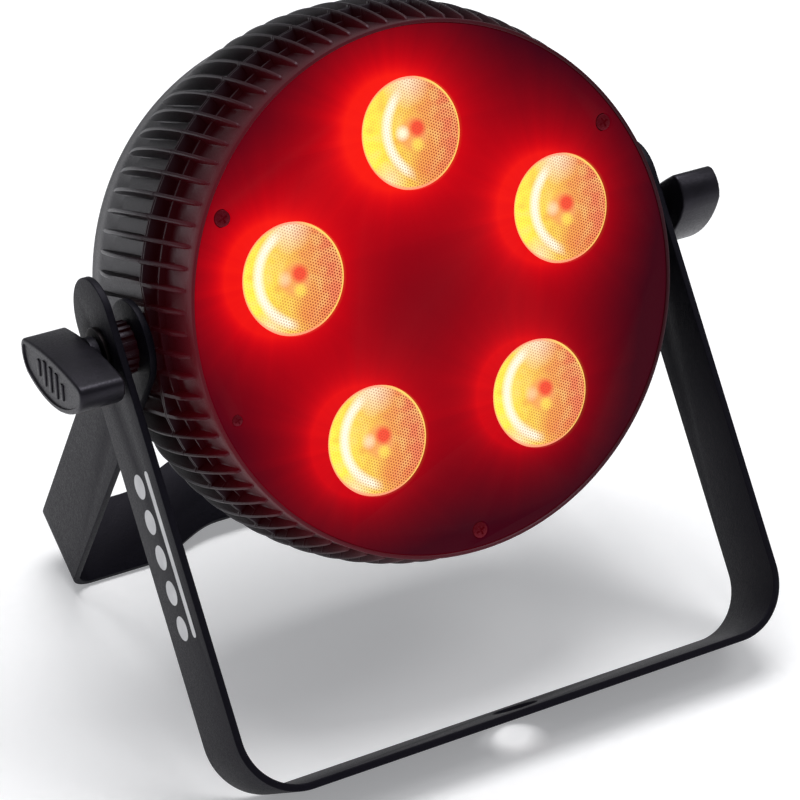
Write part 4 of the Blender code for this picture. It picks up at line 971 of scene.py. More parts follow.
REAR_SCREWS = [polar(72.0 * MM, turn) for turn in (45.0, 135.0, 225.0, 315.0)]
FUSE_AT = (0.0, -46.0 * MM)
EYE_UP, EYE_SIDE = 66.0 * MM, 8.0 * MM
BUTTONS = [(x * MM, 26.0 * MM) for x in (-24.0, -8.0, 8.0, 24.0)]
DATA_AT = {"left": (-52.0 * MM, -4.0 * MM), "right": (52.0 * MM, -4.0 * MM)}
POWER_AT = {"left": (-29.0 * MM, -46.0 * MM), "right": (29.0 * MM, -46.0 * MM)}
POWER_SIZE = (28.0 * MM, 21.0 * MM)
POWER_CAVITY = (24.4 * MM, 16.4 * MM)
DISPLAY = ((0.0, 46.0 * MM), (44.0 * MM, 13.0 * MM))


def round_panel_holes():
    holes = [(at, 3.6 * MM) for at in REAR_SCREWS]
    holes += [(at, 10.9 * MM) for at in DATA_AT.values()]
    holes += [(at, 3.9 * MM) for at in BUTTONS]
    holes += [((side * EYE_SIDE, EYE_UP), 2.6 * MM) for side in SIDES.values()]
    holes.append((FUSE_AT, 5.9 * MM))
    return holes


def square_panel_holes():
    holes = [(at, POWER_SIZE, 0.4 * MM) for at in POWER_AT.values()]
    holes.append((*DISPLAY, 0.4 * MM))
    holes += [((0.0, (11.0 - 6.4 * row) * MM), (48.0 * MM, 2.8 * MM), 0.0) for row in range(5)]
    return holes


# ------------------------------------------------------------------ face

FRONT_SCREWS = [(30.0, 1.0), (150.0, 1.0), (270.0, 1.0), (196.5, 0.667)]  # degrees round the face, size
SCREW_CIRCLE = 82.4 * MM


class PARLIGHT_OT_front_plate(Operator):
    """Sheet steel face with a window for each lens and straight screw holes"""

    bl_idname = "parlight.front_plate"
    bl_label = "Front plate"

    def execute(self, context):
        head = context.scene.parlight_head
        back = head.plate_front - head.plate_thickness
        plate = bmesh.new()
        rod(plate, head.plate_radius, back, head.plate_front, segments=192)
        cut = bmesh.new()
        low, high = back - 2 * MM, head.plate_front + 2 * MM
        for at in lens_places(head):
            rod(cut, head.window, low, high, at, 96)
        for turn, scale in FRONT_SCREWS:
            rod(cut, 3.1 * MM * scale, low, high, polar(SCREW_CIRCLE, turn), 32)
        plate = combined(plate, cut, "DIFFERENCE")
        soften(plate, plate.faces, 0.25 * MM, 2, 60.0)
        piece(
            "face_plate",
            plate,
            head_place(head),
            "head",
            ["front_plate"],
            [face_paint(head)],
        )
        return {"FINISHED"}


class PARLIGHT_OT_lenses(Operator):
    """Beaded acrylic optics behind the windows"""

    bl_idname = "parlight.lenses"
    bl_label = "Lenses"

    def execute(self, context):
        head = context.scene.parlight_head
        front = 37.9
        looks = {1: (8.8, 0.95), 2: (12.4, 0.35), 3: (12.0, 0.5), 4: (12.6, 0.3), 5: (10.0, 0.45)}
        for number, at in enumerate(lens_places(head), start=1):
            bm = bmesh.new()
            profile = [(0.0, front + 0.25), (6.0, front + 0.22), (12.0, front + 0.12), (16.5, front)]
            profile += [
                (17.8, front - 0.1), (18.1, front - 0.4), (18.1, 36.4), (20.5, 36.4), (20.5, 35.2)
            ]
            profile += [(16.9, 35.2), (4.8, 18.3), (0.0, 18.3)]
            turned(bm, in_mm(profile), 96, at)
            tidy(bm)
            glow = lens_acrylic(head, number, at, *looks[number])
            piece(
                f"lens_optic_{number}",
                bm,
                head_place(head),
                "head",
                [f"lens_{number}"],
                [glow],
            )
        return {"FINISHED"}


def cross_screw(head_radius, head_height, shank, long):
    """A cross-slot screw that points down its axis, the top of its head at 0."""
    bm = bmesh.new()
    profile = [
        (0.0, 0.0), (head_radius * 0.82, -0.05 * MM), (head_radius, -0.25 * MM), (shank, -head_height)
    ]
    profile += [(shank, -long + shank / 2), (shank / 2, -long), (0.0, -long)]
    turned(bm, profile, 32)
    tidy(bm)
    slots = bmesh.new()
    for turn in (0.0, math.pi / 2):
        arm, half = head_radius * 0.62, head_radius * 0.13
        part = block(slots, (-arm, -half, -head_height * 0.55), (arm, half, head_height))
        verts = list({vert for face in part for vert in face.verts})
        bmesh.ops.rotate(
            slots, verts=verts, cent=(0.0, 0.0, 0.0), matrix=Matrix.Rotation(turn + 0.4, 3, "Z")
        )
    return combined(bm, slots, "DIFFERENCE")


class PARLIGHT_OT_screws(Operator):
    """Cross-slot screws in the face and in the wells of the rear panel"""

    bl_idname = "parlight.screws"
    bl_label = "Screws"

    def execute(self, context):
        head = context.scene.parlight_head
        for number, (turn, scale) in enumerate(FRONT_SCREWS, start=1):
            long = (28.5 if scale == 1.0 else 4.8) * MM
            bm = cross_screw(2.7 * MM * scale, 1.6 * MM * scale, 1.5 * MM * scale, long)
            place = head_place(head) @ Matrix.Translation(
                (*polar(SCREW_CIRCLE, turn), head.plate_front - 0.1 * MM)
            )
            piece(
                f"face_screw_{number}",
                bm,
                place,
                "head",
                [f"front_screw_{number}"],
                [finish("screw_painted_red_glow")],
            )
        for number, at in enumerate(REAR_SCREWS, start=1):
            bm = cross_screw(2.7 * MM, 1.6 * MM, 1.5 * MM, 26.5 * MM)
            over = Matrix.Rotation(math.pi, 4, "X")
            place = head_place(head) @ Matrix.Translation((*at, -13.9 * MM)) @ over
            piece(
                f"well_screw_{number}",
                bm,
                place,
                "head",
                [f"rear_screw_{number}"],
                [finish("zinc")],
            )
        return {"FINISHED"}


# ------------------------------------------------------------------ rear panel


class PARLIGHT_OT_panel_controls(Operator):
    """Display window, menu buttons, fuse holder and safety eye on the rear panel"""

    bl_idname = "parlight.panel_controls"
    bl_label = "Panel controls"

    def execute(self, context):
        head = context.scene.parlight_head
        place = head_place(head)
        back = head.back
        bm = bmesh.new()
        (x, up), (wide, high) = DISPLAY
        low = back - 0.3 * MM
        glass = block(bm, (x - wide / 2, up - high / 2, low), (x + wide / 2, up + high / 2, low + 2 * MM))
        soften(bm, glass, 0.5 * MM, 3)
        piece("display_glass", bm, place, "head", ["display_window"], [finish("smoked")])
        for number, at in enumerate(BUTTONS, start=1):
            bm = bmesh.new()
            top, inner = back - 1.6 * MM, back + 2.8 * MM
            profile = [
                (0.0, top + 0.35 * MM),
                (1.6 * MM, top + 0.22 * MM),
                (2.8 * MM, top),
                (3.3 * MM, top + 0.1 * MM),
            ]
            profile += [
                (3.5 * MM, top + 0.5 * MM),
                (3.5 * MM, inner),
                (4.7 * MM, inner),
                (4.7 * MM, inner + 0.9 * MM),
            ]
            profile += [(0.0, inner + 0.9 * MM)]
            turned(bm, profile, 40, at)
            tidy(bm)
            node = f"menu_button_{number}"
            piece(f"menu_key_{number}", bm, place, node, [node], [finish("rubber")])
        self.fuse(head, place)
        self.eye(head, place)
        return {"FINISHED"}

    @staticmethod
    def fuse(head, place):
        outer = head.back - 0.3 * MM
        profile = [
            (0.0, outer - 3.5 * MM),
            (6.3 * MM, outer - 3.5 * MM),
            (6.8 * MM, outer - 3.0 * MM),
            (6.8 * MM, outer),
        ]
        profile += [(5.5 * MM, outer), (5.5 * MM, outer + 22 * MM), (0.0, outer + 22 * MM)]
        bm = bmesh.new()
        turned(bm, profile, 48, FUSE_AT)
        tidy(bm)
        slot = bmesh.new()
        block(slot, (-4.5 * MM, -46.7 * MM, outer - 6 * MM), (4.5 * MM, -45.3 * MM, outer - 2.3 * MM))
        bm = combined(bm, slot, "DIFFERENCE")
        piece("fuse_cap", bm, place, "head", ["fuse_holder"], [finish("socket")])

    @staticmethod
    def eye(head, place):
        bm = bmesh.new()
        side, radius, up = EYE_SIDE, 2.2 * MM, EYE_UP
        start, bow = head.back + 7.5 * MM, head.back - 6.0 * MM
        made = bmesh.ops.create_circle(bm, cap_ends=False, segments=20, radius=radius)
        bmesh.ops.translate(bm, verts=made["verts"], vec=(side, up, start))
        loop = list({edge for vert in made["verts"] for edge in vert.link_edges})
        top_edges, verts = grow(bm, loop, (0.0, 0.0, bow - start))
        spun = bmesh.ops.spin(
            bm, geom=verts + top_edges, cent=(0.0, up, bow), axis=(0.0, 1.0, 0.0), angle=math.pi, steps=28
        )
        grow(bm, edges_of(spun["geom_last"]), (0.0, 0.0, start - bow))
        bmesh.ops.holes_fill(bm, edges=bm.edges)
        tidy(bm)
        piece("safety_eye", bm, place, "head", ["safety_loop"], [finish("zinc")])


class PARLIGHT_OT_connectors(Operator):
    """Mains and data connectors on the rear panel"""

    bl_idname = "parlight.connectors"
    bl_label = "Connectors"

    def execute(self, context):
        head = context.scene.parlight_head
        place = head_place(head)
        outer = head.back - 2.1 * MM
        for side, name, male in (("left", "power_inlet", True), ("right", "power_outlet", False)):
            bm = self.mains(POWER_AT[side], outer, male)
            looks = [finish("socket"), finish("nickel")]
            piece(
                f"mains_{'inlet' if male else 'outlet'}",
                bm,
                place,
                "head",
                [name],
                looks,
            )
        for side, name, male in (("left", "dmx_input", True), ("right", "dmx_output", False)):
            bm = self.data(DATA_AT[side], outer, male)
            looks = [finish("nickel"), finish("socket"), finish("gold")]
            piece(
                f"data_{'input' if male else 'output'}",
                bm,
                place,
                "head",
                [name],
                looks,
            )
        bm = bmesh.new()
        x, up = DATA_AT["right"][0], DATA_AT["right"][1] + 13.0 * MM
        high = head.back - 1.5 * MM
        tab = block(bm, (x - 2.5 * MM, up - 1.5 * MM, high - 2 * MM), (x + 2.5 * MM, up + 1.5 * MM, high))
        soften(bm, tab, 0.35 * MM, 3)
        piece("latch_tab", bm, place, "dmx_latch", ["dmx_latch"], [finish("nickel")])
        return {"FINISHED"}

    @staticmethod
    def mains(at, outer, male):
        bm = bmesh.new()
        half = (POWER_SIZE[0] / 2, POWER_SIZE[1] / 2)
        block(
            bm,
            (at[0] - half[0], at[1] - half[1], outer),
            (at[0] + half[0], at[1] + half[1], outer + 20 * MM),
        )
        wide = (half[0] + 1.6 * MM, half[1] + 1.6 * MM)
        flange = bmesh.new()
        low, high = (at[0] - wide[0], at[1] - wide[1], outer), (
            at[0] + wide[0], at[1] + wide[1], outer + 1.8 * MM
        )
        block(flange, low, high)
        bm = combined(bm, flange, "UNION")
        cut = bmesh.new()
        half = (POWER_CAVITY[0] / 2, POWER_CAVITY[1] / 2)
        low = (at[0] - half[0], at[1] - half[1], outer - 2 * MM)
        block(cut, low, (at[0] + half[0], at[1] + half[1], outer + 16 * MM))
        uprights = [e for e in cut.edges if abs(e.verts[0].co.z - e.verts[1].co.z) > MM]
        top_pair = [e for e in uprights if e.verts[0].co.y > at[1]]
        bevel(cut, top_pair, 4 * MM, 1)
        bm = combined(bm, cut, "DIFFERENCE")
        soften(bm, bm.faces, 0.3 * MM, 2, 60.0)
        pins = [(0.0, 3.5 * MM), (-7.0 * MM, -3.5 * MM), (7.0 * MM, -3.5 * MM)]
        floor = outer + 16 * MM
        if male:
            for x, up in pins:
                blade = bmesh.new()
                low = (at[0] + x - MM, at[1] + up - 2 * MM, floor - 9 * MM)
                blade_faces = block(
                    blade, low, (at[0] + x + MM, at[1] + up + 2 * MM, floor + 0.4 * MM), 1
                )
                soften(blade, blade_faces, 0.3 * MM, 2)
                join(bm, blade)
            return bm
        core = bmesh.new()
        half = (half[0] - 2.2 * MM, half[1] - 2.2 * MM)
        low = (at[0] - half[0], at[1] - half[1], outer + MM)
        block(core, low, (at[0] + half[0], at[1] + half[1], floor + 0.4 * MM))
        slots = bmesh.new()
        for x, up in pins:
            low = (at[0] + x - 1.2 * MM, at[1] + up - 2.2 * MM, outer - MM)
            block(slots, low, (at[0] + x + 1.2 * MM, at[1] + up + 2.2 * MM, floor - 2 * MM))
        core = combined(core, slots, "DIFFERENCE")
        soften(core, core.faces, 0.25 * MM, 2, 60.0)
        join(bm, core)
        return bm

    @staticmethod
    def data(at, outer, male):
        bm = bmesh.new()
        floor = outer + 15 * MM
        profile = [(9.3 * MM, floor), (9.3 * MM, outer), (13 * MM, outer), (13 * MM, outer + 1.8 * MM)]
        profile += [
            (10.5 * MM, outer + 1.8 * MM), (10.5 * MM, outer + 20 * MM), (9.3 * MM, outer + 20 * MM)
        ]
        turned(bm, rounded(profile, 0.35 * MM), 64, at)
        turned(
            bm,
            [(0.0, floor), (9.25 * MM, floor), (9.25 * MM, floor + 4 * MM), (0.0, floor + 4 * MM)],
            48,
            at,
            1,
        )
        spots = [
            (at[0] + x, at[1] + up) for x, up in (polar(4.6 * MM, 90.0 + 120.0 * n) for n in range(3))
        ]
        tidy(bm)
        if male:
            for spot in spots:
                pin = bmesh.new()
                tip = outer + 6 * MM
                profile = [
                    (0.0, tip),
                    (0.8 * MM, tip + 0.2 * MM),
                    (1.2 * MM, tip + 0.8 * MM),
                    (1.2 * MM, floor + 0.4 * MM),
                ]
                turned(pin, profile + [(0.0, floor + 0.4 * MM)], 24, spot, 2)
                tidy(pin)
                join(bm, pin)
            return bm
        core = bmesh.new()
        rod(core, 7.3 * MM, outer + 1.5 * MM, floor + 0.4 * MM, at, 48, 1)
        holes = bmesh.new()
        for spot in spots:
            rod(holes, 1.4 * MM, outer - MM, floor - 2 * MM, spot, 24, 1)
        core = combined(core, holes, "DIFFERENCE")
        for face in core.faces:
            face.material_index = 1
        soften(core, core.faces, 0.25 * MM, 2, 60.0)
        join(bm, core)
        return bm


# ------------------------------------------------------------------ brackets


def bent_bar(sizes, half, reach, bend, top, setback):
    """Half of a bent flat bar: base, bend and arm, then mirrored and drilled."""
    wide, thick = sizes.width / 2, sizes.thickness
    bm = bmesh.new()
    corners = [(-wide, -reach), (wide, -reach), (wide, -reach + thick), (-wide, -reach + thick)]
    verts = [bm.verts.new((0.0, y, z)) for y, z in corners]
    edges = [bm.edges.new((verts[k], verts[(k + 1) % 4])) for k in range(4)]
    stops = [half - bend]
    if setback:
        steps = 12
        span = sizes.setback_start - sizes.setback_end
        stops = [sizes.setback_end + span * k / steps for k in range(steps + 1)] + stops
    for stop in stops:
        edges, verts = grow(bm, edges, Vector((stop, 0.0, 0.0)) - Vector((verts[0].co.x, 0.0, 0.0)))
    for vert in bm.verts:
        share = (sizes.setback_start - vert.co.x) / (sizes.setback_start - sizes.setback_end)
        share = max(0.0, min(1.0, share))
        vert.co.y += setback * (1 - math.cos(math.pi * share)) / 2
    spun = bmesh.ops.spin(
        bm,
        geom=verts + edges,
        cent=(half - bend, 0.0, -reach + bend),
        axis=(0.0, -1.0, 0.0),
        angle=math.pi / 2,
        steps=20,
    )["geom_last"]
    edges = edges_of(spun)
    verts = points_of(spun)
    edges, verts = grow(bm, edges, Vector((0.0, 0.0, top + wide + reach - bend)))
    bmesh.ops.contextual_create(bm, geom=edges)
    ends = [e for e in edges if abs(e.verts[0].co.y - e.verts[1].co.y) < MM]
    bevel(bm, ends, wide * 0.999, 16, clamp=False)
    whole = bm.verts[:] + bm.edges[:] + bm.faces[:]
    bmesh.ops.mirror(bm, geom=whole, axis="X", merge_dist=1e-6)
    tidy(bm)
    cut = bmesh.new()
    rod(cut, sizes.clamp_hole, -reach - 5 * MM, -reach + thick + 5 * MM, (0.0, setback), 64)
    drill = bmesh.new()
    rod(drill, sizes.stud + 0.4 * MM, -half - 5 * MM, half + 5 * MM, segments=48)
    bmesh.ops.transform(drill, matrix=Matrix.Rotation(math.pi / 2, 4, "Y"), verts=drill.verts)
    join(cut, drill)
    bm = combined(bm, cut, "DIFFERENCE")
    soften(bm, bm.faces, 0.35 * MM, 3, 50.0)
    return bm


def grow(bm, edges, move):
    """Extrudes these edges and moves the new ones; gives back their edges and points."""
    grown = bmesh.ops.extrude_edge_only(bm, edges=edges)["geom"]
    verts = points_of(grown)
    made = [edge for edge in edges_of(grown) if all(vert in verts for vert in edge.verts)]
    bmesh.ops.translate(bm, verts=verts, vec=move)
    return made, verts


class PARLIGHT_OT_brackets(Operator):
    """Both U brackets, bent from flat bar, with a neutral print on one arm"""

    bl_idname = "parlight.brackets"
    bl_label = "Brackets"

    def execute(self, context):
        sizes = context.scene.parlight_bracket
        bm = bent_bar(sizes, sizes.front_half, sizes.front_reach, sizes.front_bend, sizes.front_top, 0.0)
        self.add_print(bm, sizes)
        place = axis_place() @ Matrix.Rotation(-sizes.front_lean, 4, "X")
        looks = [finish("powder"), finish("ink")]
        piece("front_yoke", bm, place, "front_bracket", ["front_bracket"], looks)
        bm = bent_bar(
            sizes, sizes.rear_half, sizes.rear_reach, sizes.rear_bend, sizes.rear_top, sizes.setback
        )
        place = axis_place() @ Matrix.Rotation(sizes.rear_lean, 4, "X")
        piece("rear_yoke", bm, place, "rear_bracket", ["rear_bracket"], looks[:1])
        return {"FINISHED"}

    @staticmethod
    def add_print(bm, sizes):
        """A plain printed mark on the left arm: a round-ended bar and five dots."""
        mark = bmesh.new()
        face = sizes.front_half
        block(mark, (-0.01 * MM, -9.0 * MM, -97.0 * MM), (0.01 * MM, -6.0 * MM, -41.0 * MM))
        ends = [e for e in mark.edges if abs(e.verts[0].co.x - e.verts[1].co.x) > 0.005 * MM]
        bevel(mark, ends, 1.45 * MM, 8, clamp=False)
        for k in range(5):
            dot = bmesh.new()
            rod(dot, 4.2 * MM, -0.01 * MM, 0.01 * MM, segments=40)
            turn = Matrix.Translation(
                (0.0, 1.6 * MM, (-45.2 - 12.0 * k) * MM)
            ) @ Matrix.Rotation(math.pi / 2, 4, "Y")
            bmesh.ops.transform(dot, matrix=turn, verts=dot.verts)
            join(mark, dot)
        bmesh.ops.translate(mark, verts=mark.verts, vec=(-face - 0.015 * MM, 0.0, 0.0))
        for item in mark.faces:
            item.material_index = 1
        join(bm, mark)


# ------------------------------------------------------------------ tilt axis


def axis_ring(profile, side, steps=64):
    """Turned about the tilt axis from (radius, distance from the middle) points in mm."""
    bm = bmesh.new()
    turned(bm, in_mm(profile), steps)
    tidy(bm)
    bmesh.ops.transform(bm, matrix=Matrix.Rotation(side * math.pi / 2, 4, "Y"), verts=bm.verts)
    return bm


class PARLIGHT_OT_axis_hardware(Operator):
    """Spacers, washers, studs, inserts and friction discs on the tilt axis"""

    bl_idname = "parlight.axis_hardware"
    bl_label = "Axis hardware"

    def execute(self, context):
        place = axis_place()
        for name, side in SIDES.items():
            washer = rounded([(9.0, 105.8), (9.0, 107.3), (4.4, 107.3), (4.4, 105.8)], 0.3)
            bm = axis_ring(washer, side)
            body = f"{name}_washer"
            piece(f"{name}_flat_washer", bm, place, body, [body], [finish("black_screw")])
            disc = rounded([(9.4, 91.8), (9.4, 92.6), (4.4, 92.6), (4.4, 91.8)], 0.2)
            bm = axis_ring(disc, side)
            piece(
                f"{name}_rubber_disc",
                bm,
                place,
                "head",
                [f"{name}_friction_disc"],
                [finish("rubber")],
            )
            insert = rounded([(7.0, 78.2), (7.0, 91.2), (4.3, 91.2), (4.3, 78.2)], 0.3)
            bm = axis_ring(insert, side)
            piece(
                f"{name}_brass_insert",
                bm,
                place,
                "head",
                [f"{name}_pivot_insert"],
                [finish("brass")],
            )
            self.stud(name, side, place)
            self.spacer(name, side, place)
        return {"FINISHED"}

    @staticmethod
    def stud(name, side, place):
        """The threaded stud, its turns drawn as rings of the thread's pitch."""
        profile = [(0.0, 78.5), (3.3, 78.5)]
        start, end, pitch = 79.0, 119.6, 1.25
        count = int((end - start) / pitch)
        for k in range(count):
            low = start + pitch * k
            profile += [(3.45, low), (3.98, low + pitch / 2)]
        profile += [(3.45, start + pitch * count), (3.3, 120.0), (0.0, 120.0)]
        bm = axis_ring(profile, side, 32)
        body = f"{name}_knob"
        piece(
            f"{name}_threaded_stud",
            bm,
            place,
            body,
            [f"{name}_knob_stud"],
            [finish("zinc")],
        )

    @staticmethod
    def spacer(name, side, place):
        """A moulded spacer with teeth round its rim."""
        bm = axis_ring(rounded([(8.0, 95.7), (8.0, 102.7), (4.4, 102.7), (4.4, 95.7)], 0.3), side)
        for k in range(18):
            tooth = bmesh.new()
            faces = block(tooth, (95.9 * MM, 7.6 * MM, -0.72 * MM), (102.5 * MM, 9.0 * MM, 0.72 * MM))
            soften(tooth, faces, 0.22 * MM, 2)
            flip = Matrix.Diagonal((side, 1.0, 1.0, 1.0))
            turn = Matrix.Rotation(math.tau * (k + 0.2) / 18, 4, "X")
            bmesh.ops.transform(tooth, matrix=turn @ flip, verts=tooth.verts)
            if side < 0:
                bmesh.ops.reverse_faces(tooth, faces=tooth.faces)
            join(bm, tooth)
        looks = [finish("housing")]
        piece(
            f"{name}_toothed_spacer",
            bm,
            place,
            "front_bracket",
            [f"{name}_spacer"],
            looks,
        )


KNOB_CORNERS = ((27.3, 5.3), (-19.8, 1.7), (-16.5, -9.7), (25.5, -3.0))  # mm, seen from outside
KNOB_BULGES = (2.2, 2.0, 6.2, 1.2)  # mm, of the side that follows each corner


def knob_face(bm, depth):
    """A face with the knob's outline across the X axis: flat back, tail, belly and nose."""
    corners = [Vector((depth, y * MM, z * MM)) for y, z in KNOB_CORNERS]
    for number, start in enumerate(corners):
        chord = corners[(number + 1) % len(corners)] - start
        bulge = KNOB_BULGES[number] * MM
        radius = (chord.length**2 / 4 + bulge**2) / (2 * bulge)
        outwards = Vector((0.0, chord.z, -chord.y)).normalized()
        centre = start + chord / 2 + outwards * (bulge - radius)
        spread = 2 * math.asin(chord.length / 2 / radius)
        steps = round(chord.length / (2.6 * MM))
        corner = bm.verts.new(start)
        bmesh.ops.spin(bm, geom=[corner], cent=centre, axis=(1.0, 0.0, 0.0), angle=spread, steps=steps)
    bmesh.ops.remove_doubles(bm, verts=bm.verts, dist=0.01 * MM)
    return bmesh.ops.contextual_create(bm, geom=[e for e in bm.edges if e.is_wire])["faces"]


class PARLIGHT_OT_knobs(Operator):
    """Clamp knobs with a flat back, a full belly and a sunk end panel"""

    bl_idname = "parlight.knobs"
    bl_label = "Knobs"

    def execute(self, context):
        sizes = context.scene.parlight_knob
        for name, side in SIDES.items():
            bm = self.body(sizes)
            facing = Matrix.Rotation(0.0 if side > 0 else math.pi, 4, "Z")
            turn = Matrix.Rotation(side * getattr(sizes, name), 4, "X")
            bmesh.ops.transform(bm, matrix=turn @ facing, verts=bm.verts)
            tidy(bm)
            body = f"{name}_knob"
            piece(
                f"{name}_clamp_knob",
                bm,
                axis_place(),
                body,
                [f"{name}_knob_handle"],
                [finish("nylon")],
            )
        return {"FINISHED"}

    @staticmethod
    def body(sizes):
        bm = bmesh.new()
        faces = knob_face(bm, sizes.body)
        grown = bmesh.ops.extrude_face_region(bm, geom=faces)["geom"]
        verts = points_of(grown)
        bmesh.ops.translate(bm, verts=verts, vec=(sizes.outer - sizes.body, 0.0, 0.0))
        tidy(bm)
        along = [e for e in bm.edges if abs(e.verts[0].co.x - e.verts[1].co.x) > MM]
        corners = [e for e in along if e.calc_face_angle() > math.radians(25.0)]
        bevel(bm, corners, 1.8 * MM, 5)
        rims = [e for e in bm.edges if abs(e.verts[0].co.x - e.verts[1].co.x) < 1e-6]
        bevel(bm, rims, 1.0 * MM, 4)
        end = max(bm.faces, key=lambda face: face.calc_center_median().x)
        bmesh.ops.inset_region(bm, faces=[end], thickness=sizes.rim - 0.7 * MM)
        bmesh.ops.inset_region(bm, faces=[end], thickness=0.25 * MM, depth=-sizes.recess)
        hub = bmesh.new()
        profile = [
            (0.0, sizes.body + MM), (sizes.hub, sizes.body + MM), (sizes.hub, sizes.inner + 0.3 * MM)
        ]
        profile += [(sizes.hub - 0.3 * MM, sizes.inner), (0.0, sizes.inner)]
        turned(hub, profile, 64)
        tidy(hub)
        bmesh.ops.transform(hub, matrix=Matrix.Rotation(math.pi / 2, 4, "Y"), verts=hub.verts)
        join(bm, hub)
        for k in range(5):
            bar = bmesh.new()
            y = (k - 2) * 4.6 * MM + 2.5 * MM
            long = (3.0 if k in (0, 4) else 4.6) * MM
            low = sizes.outer - sizes.recess - 0.2 * MM
            middle = -3.1 * MM
            high = sizes.outer - 0.1 * MM
            faces = block(bar, (low, y - 1.0 * MM, middle - long), (high, y + 1.0 * MM, middle + long))
            soften(bar, faces, 0.35 * MM, 2)
            join(bm, bar)
        return bm


# ------------------------------------------------------------------ inside


class PARLIGHT_OT_inner_finishes(Operator):
    """Finishes for the pieces inside the housing"""

    bl_idname = "parlight.inner_finishes"
    bl_label = "Inner finishes"

    def execute(self, context):
        looks = {
            "led_board": "board",
            "power_supply_board": "board",
            "control_board": "board",
            "heat_sink": "aluminium",
            "fan_frame": "socket",
            "fan_rotor": "socket",
        }
        for number in range(1, context.scene.parlight_head.lenses + 1):
            looks[f"lens_cup_{number}"] = "socket"
            looks[f"led_emitter_{number}"] = "chip"
        for node, name in looks.items():
            for holder in frame["nodes"][node].material_slots:
                holder.material = finish(name)
        return {"FINISHED"}


# ------------------------------------------------------------------ stage


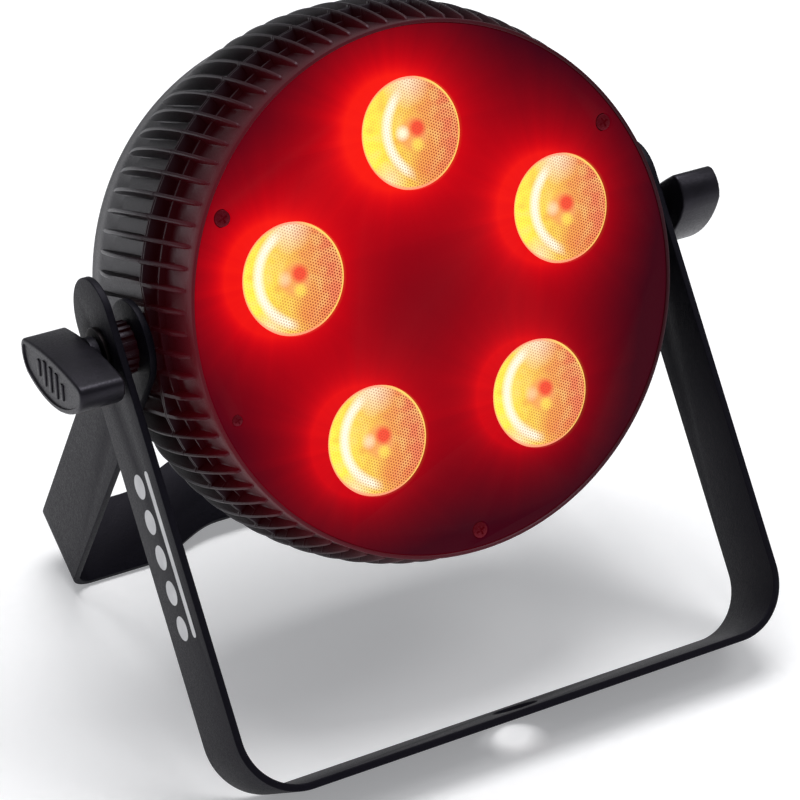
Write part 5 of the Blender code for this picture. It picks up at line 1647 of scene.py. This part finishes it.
class PARLIGHT_OT_stage(Operator):
    """Pale floor, soft lights and the camera"""

    bl_idname = "parlight.stage"
    bl_label = "Stage"

    def execute(self, context):
        scene = context.scene
        stage = scene.parlight_stage
        scene.view_settings.view_transform = "Standard"
        self.floor()
        self.world(scene)
        self.light("key_light", (0.9, -0.5, 1.5), 0.7, stage.key)
        self.light("top_light", (0.15, 0.35, 1.7), 1.3, stage.top)
        self.light("fill_light", (-1.4, -1.2, 0.7), 1.2, stage.fill)
        self.camera(scene, stage)
        return {"FINISHED"}

    @staticmethod
    def floor():
        # Pale matt paper: nearly white, faintly uneven
        made, tree = new_material("pale_studio_paper")
        fibres = add(
            tree,
            "TexNoise",
            named={"Vector": add(tree, "TexCoord", out=3), "Scale": per_mm(3.0), "Detail": 3.0},
        )
        colour = add(
            tree,
            "Mix",
            named={
                0: add(tree, "MapRange", fibres, 0.3, 0.7), 6: linear("#ececed"), 7: linear("#f4f4f5")
            },
            **BLEND,
        )
        end_material(
            tree,
            Base_Color=colour,
            Roughness=0.9,
            Specular_IOR_Level=0.1,
            Emission_Color=linear("#f4f5f8"),
            Emission_Strength=0.28,
        )
        bm = bmesh.new()
        bmesh.ops.create_grid(bm, x_segments=2, y_segments=2, size=4.0)
        mesh = bpy.data.meshes.new("studio_floor")
        bm.to_mesh(mesh)
        bm.free()
        mesh.materials.append(made)
        floor = bpy.data.objects.new("studio_floor", mesh)
        bpy.context.collection.objects.link(floor)

    @staticmethod
    def world(scene):
        world = bpy.data.worlds.new("pale_studio")
        world.use_nodes = True
        background = world.node_tree.nodes["Background"]
        background.inputs["Color"].default_value = linear("#f3f4f6")
        background.inputs["Strength"].default_value = 0.3
        scene.world = world

    @staticmethod
    def light(name, place, size, power):
        data = bpy.data.lights.new(name, "AREA")
        data.shape = "DISK"
        data.size = size
        data.energy = power
        made = bpy.data.objects.new(name, data)
        made.location = place
        aim = Vector((0.0, 0.0, 0.12)) - Vector(place)
        made.rotation_euler = aim.to_track_quat("-Z", "Y").to_euler()
        bpy.context.collection.objects.link(made)

    @staticmethod
    def camera(scene, stage):
        data = bpy.data.cameras.new("camera")
        data.lens = stage.focal
        data.sensor_width = 36.0
        data.clip_end = 20.0
        made = bpy.data.objects.new("camera", data)
        flat = math.cos(stage.elevation)
        away = Vector(
            (
                -flat * math.sin(stage.azimuth),
                -flat * math.cos(stage.azimuth),
                math.sin(stage.elevation),
            ),
        )
        target = PIVOT + Vector(stage.aim)
        made.location = target + away * stage.distance
        made.rotation_euler = (-away).to_track_quat("-Z", "Y").to_euler()
        bpy.context.collection.objects.link(made)
        scene.camera = made


# ------------------------------------------------------------------ panel


class PARLIGHT_PT_panel(Panel):
    """Lists the pieces of the par light"""

    bl_label = "Par Light"
    bl_idname = "PARLIGHT_PT_panel"
    bl_space_type = "VIEW_3D"
    bl_region_type = "UI"
    bl_category = "Par Light"

    def draw(self, context):
        for operator in OPERATORS:
            self.layout.operator(operator.bl_idname)
        for name in GROUPS:
            settings = getattr(context.scene, name)
            box = self.layout.box()
            for key in settings.bl_rna.properties.keys():
                if key not in {"rna_type", "name"}:
                    box.prop(settings, key)


OPERATORS = (
    PARLIGHT_OT_stage,
    PARLIGHT_OT_front_housing,
    PARLIGHT_OT_rear_housing,
    PARLIGHT_OT_front_plate,
    PARLIGHT_OT_lenses,
    PARLIGHT_OT_screws,
    PARLIGHT_OT_panel_controls,
    PARLIGHT_OT_connectors,
    PARLIGHT_OT_brackets,
    PARLIGHT_OT_axis_hardware,
    PARLIGHT_OT_knobs,
    PARLIGHT_OT_inner_finishes,
)
GROUPS = {
    "parlight_head": HeadSizes,
    "parlight_bracket": BracketSizes,
    "parlight_knob": KnobSizes,
    "parlight_stage": StageSettings,
}


def register():
    for kind in (*GROUPS.values(), *OPERATORS, PARLIGHT_PT_panel):
        bpy.utils.register_class(kind)
    for name, group in GROUPS.items():
        setattr(bpy.types.Scene, name, PointerProperty(type=group))


def unregister():
    for name in GROUPS:
        delattr(bpy.types.Scene, name)
    for kind in reversed((*GROUPS.values(), *OPERATORS, PARLIGHT_PT_panel)):
        bpy.utils.unregister_class(kind)


def main():
    register()
    for operator in OPERATORS:
        group, name = operator.bl_idname.split(".")
        getattr(getattr(bpy.ops, group), name)()


if __name__ == "__main__":
    main()
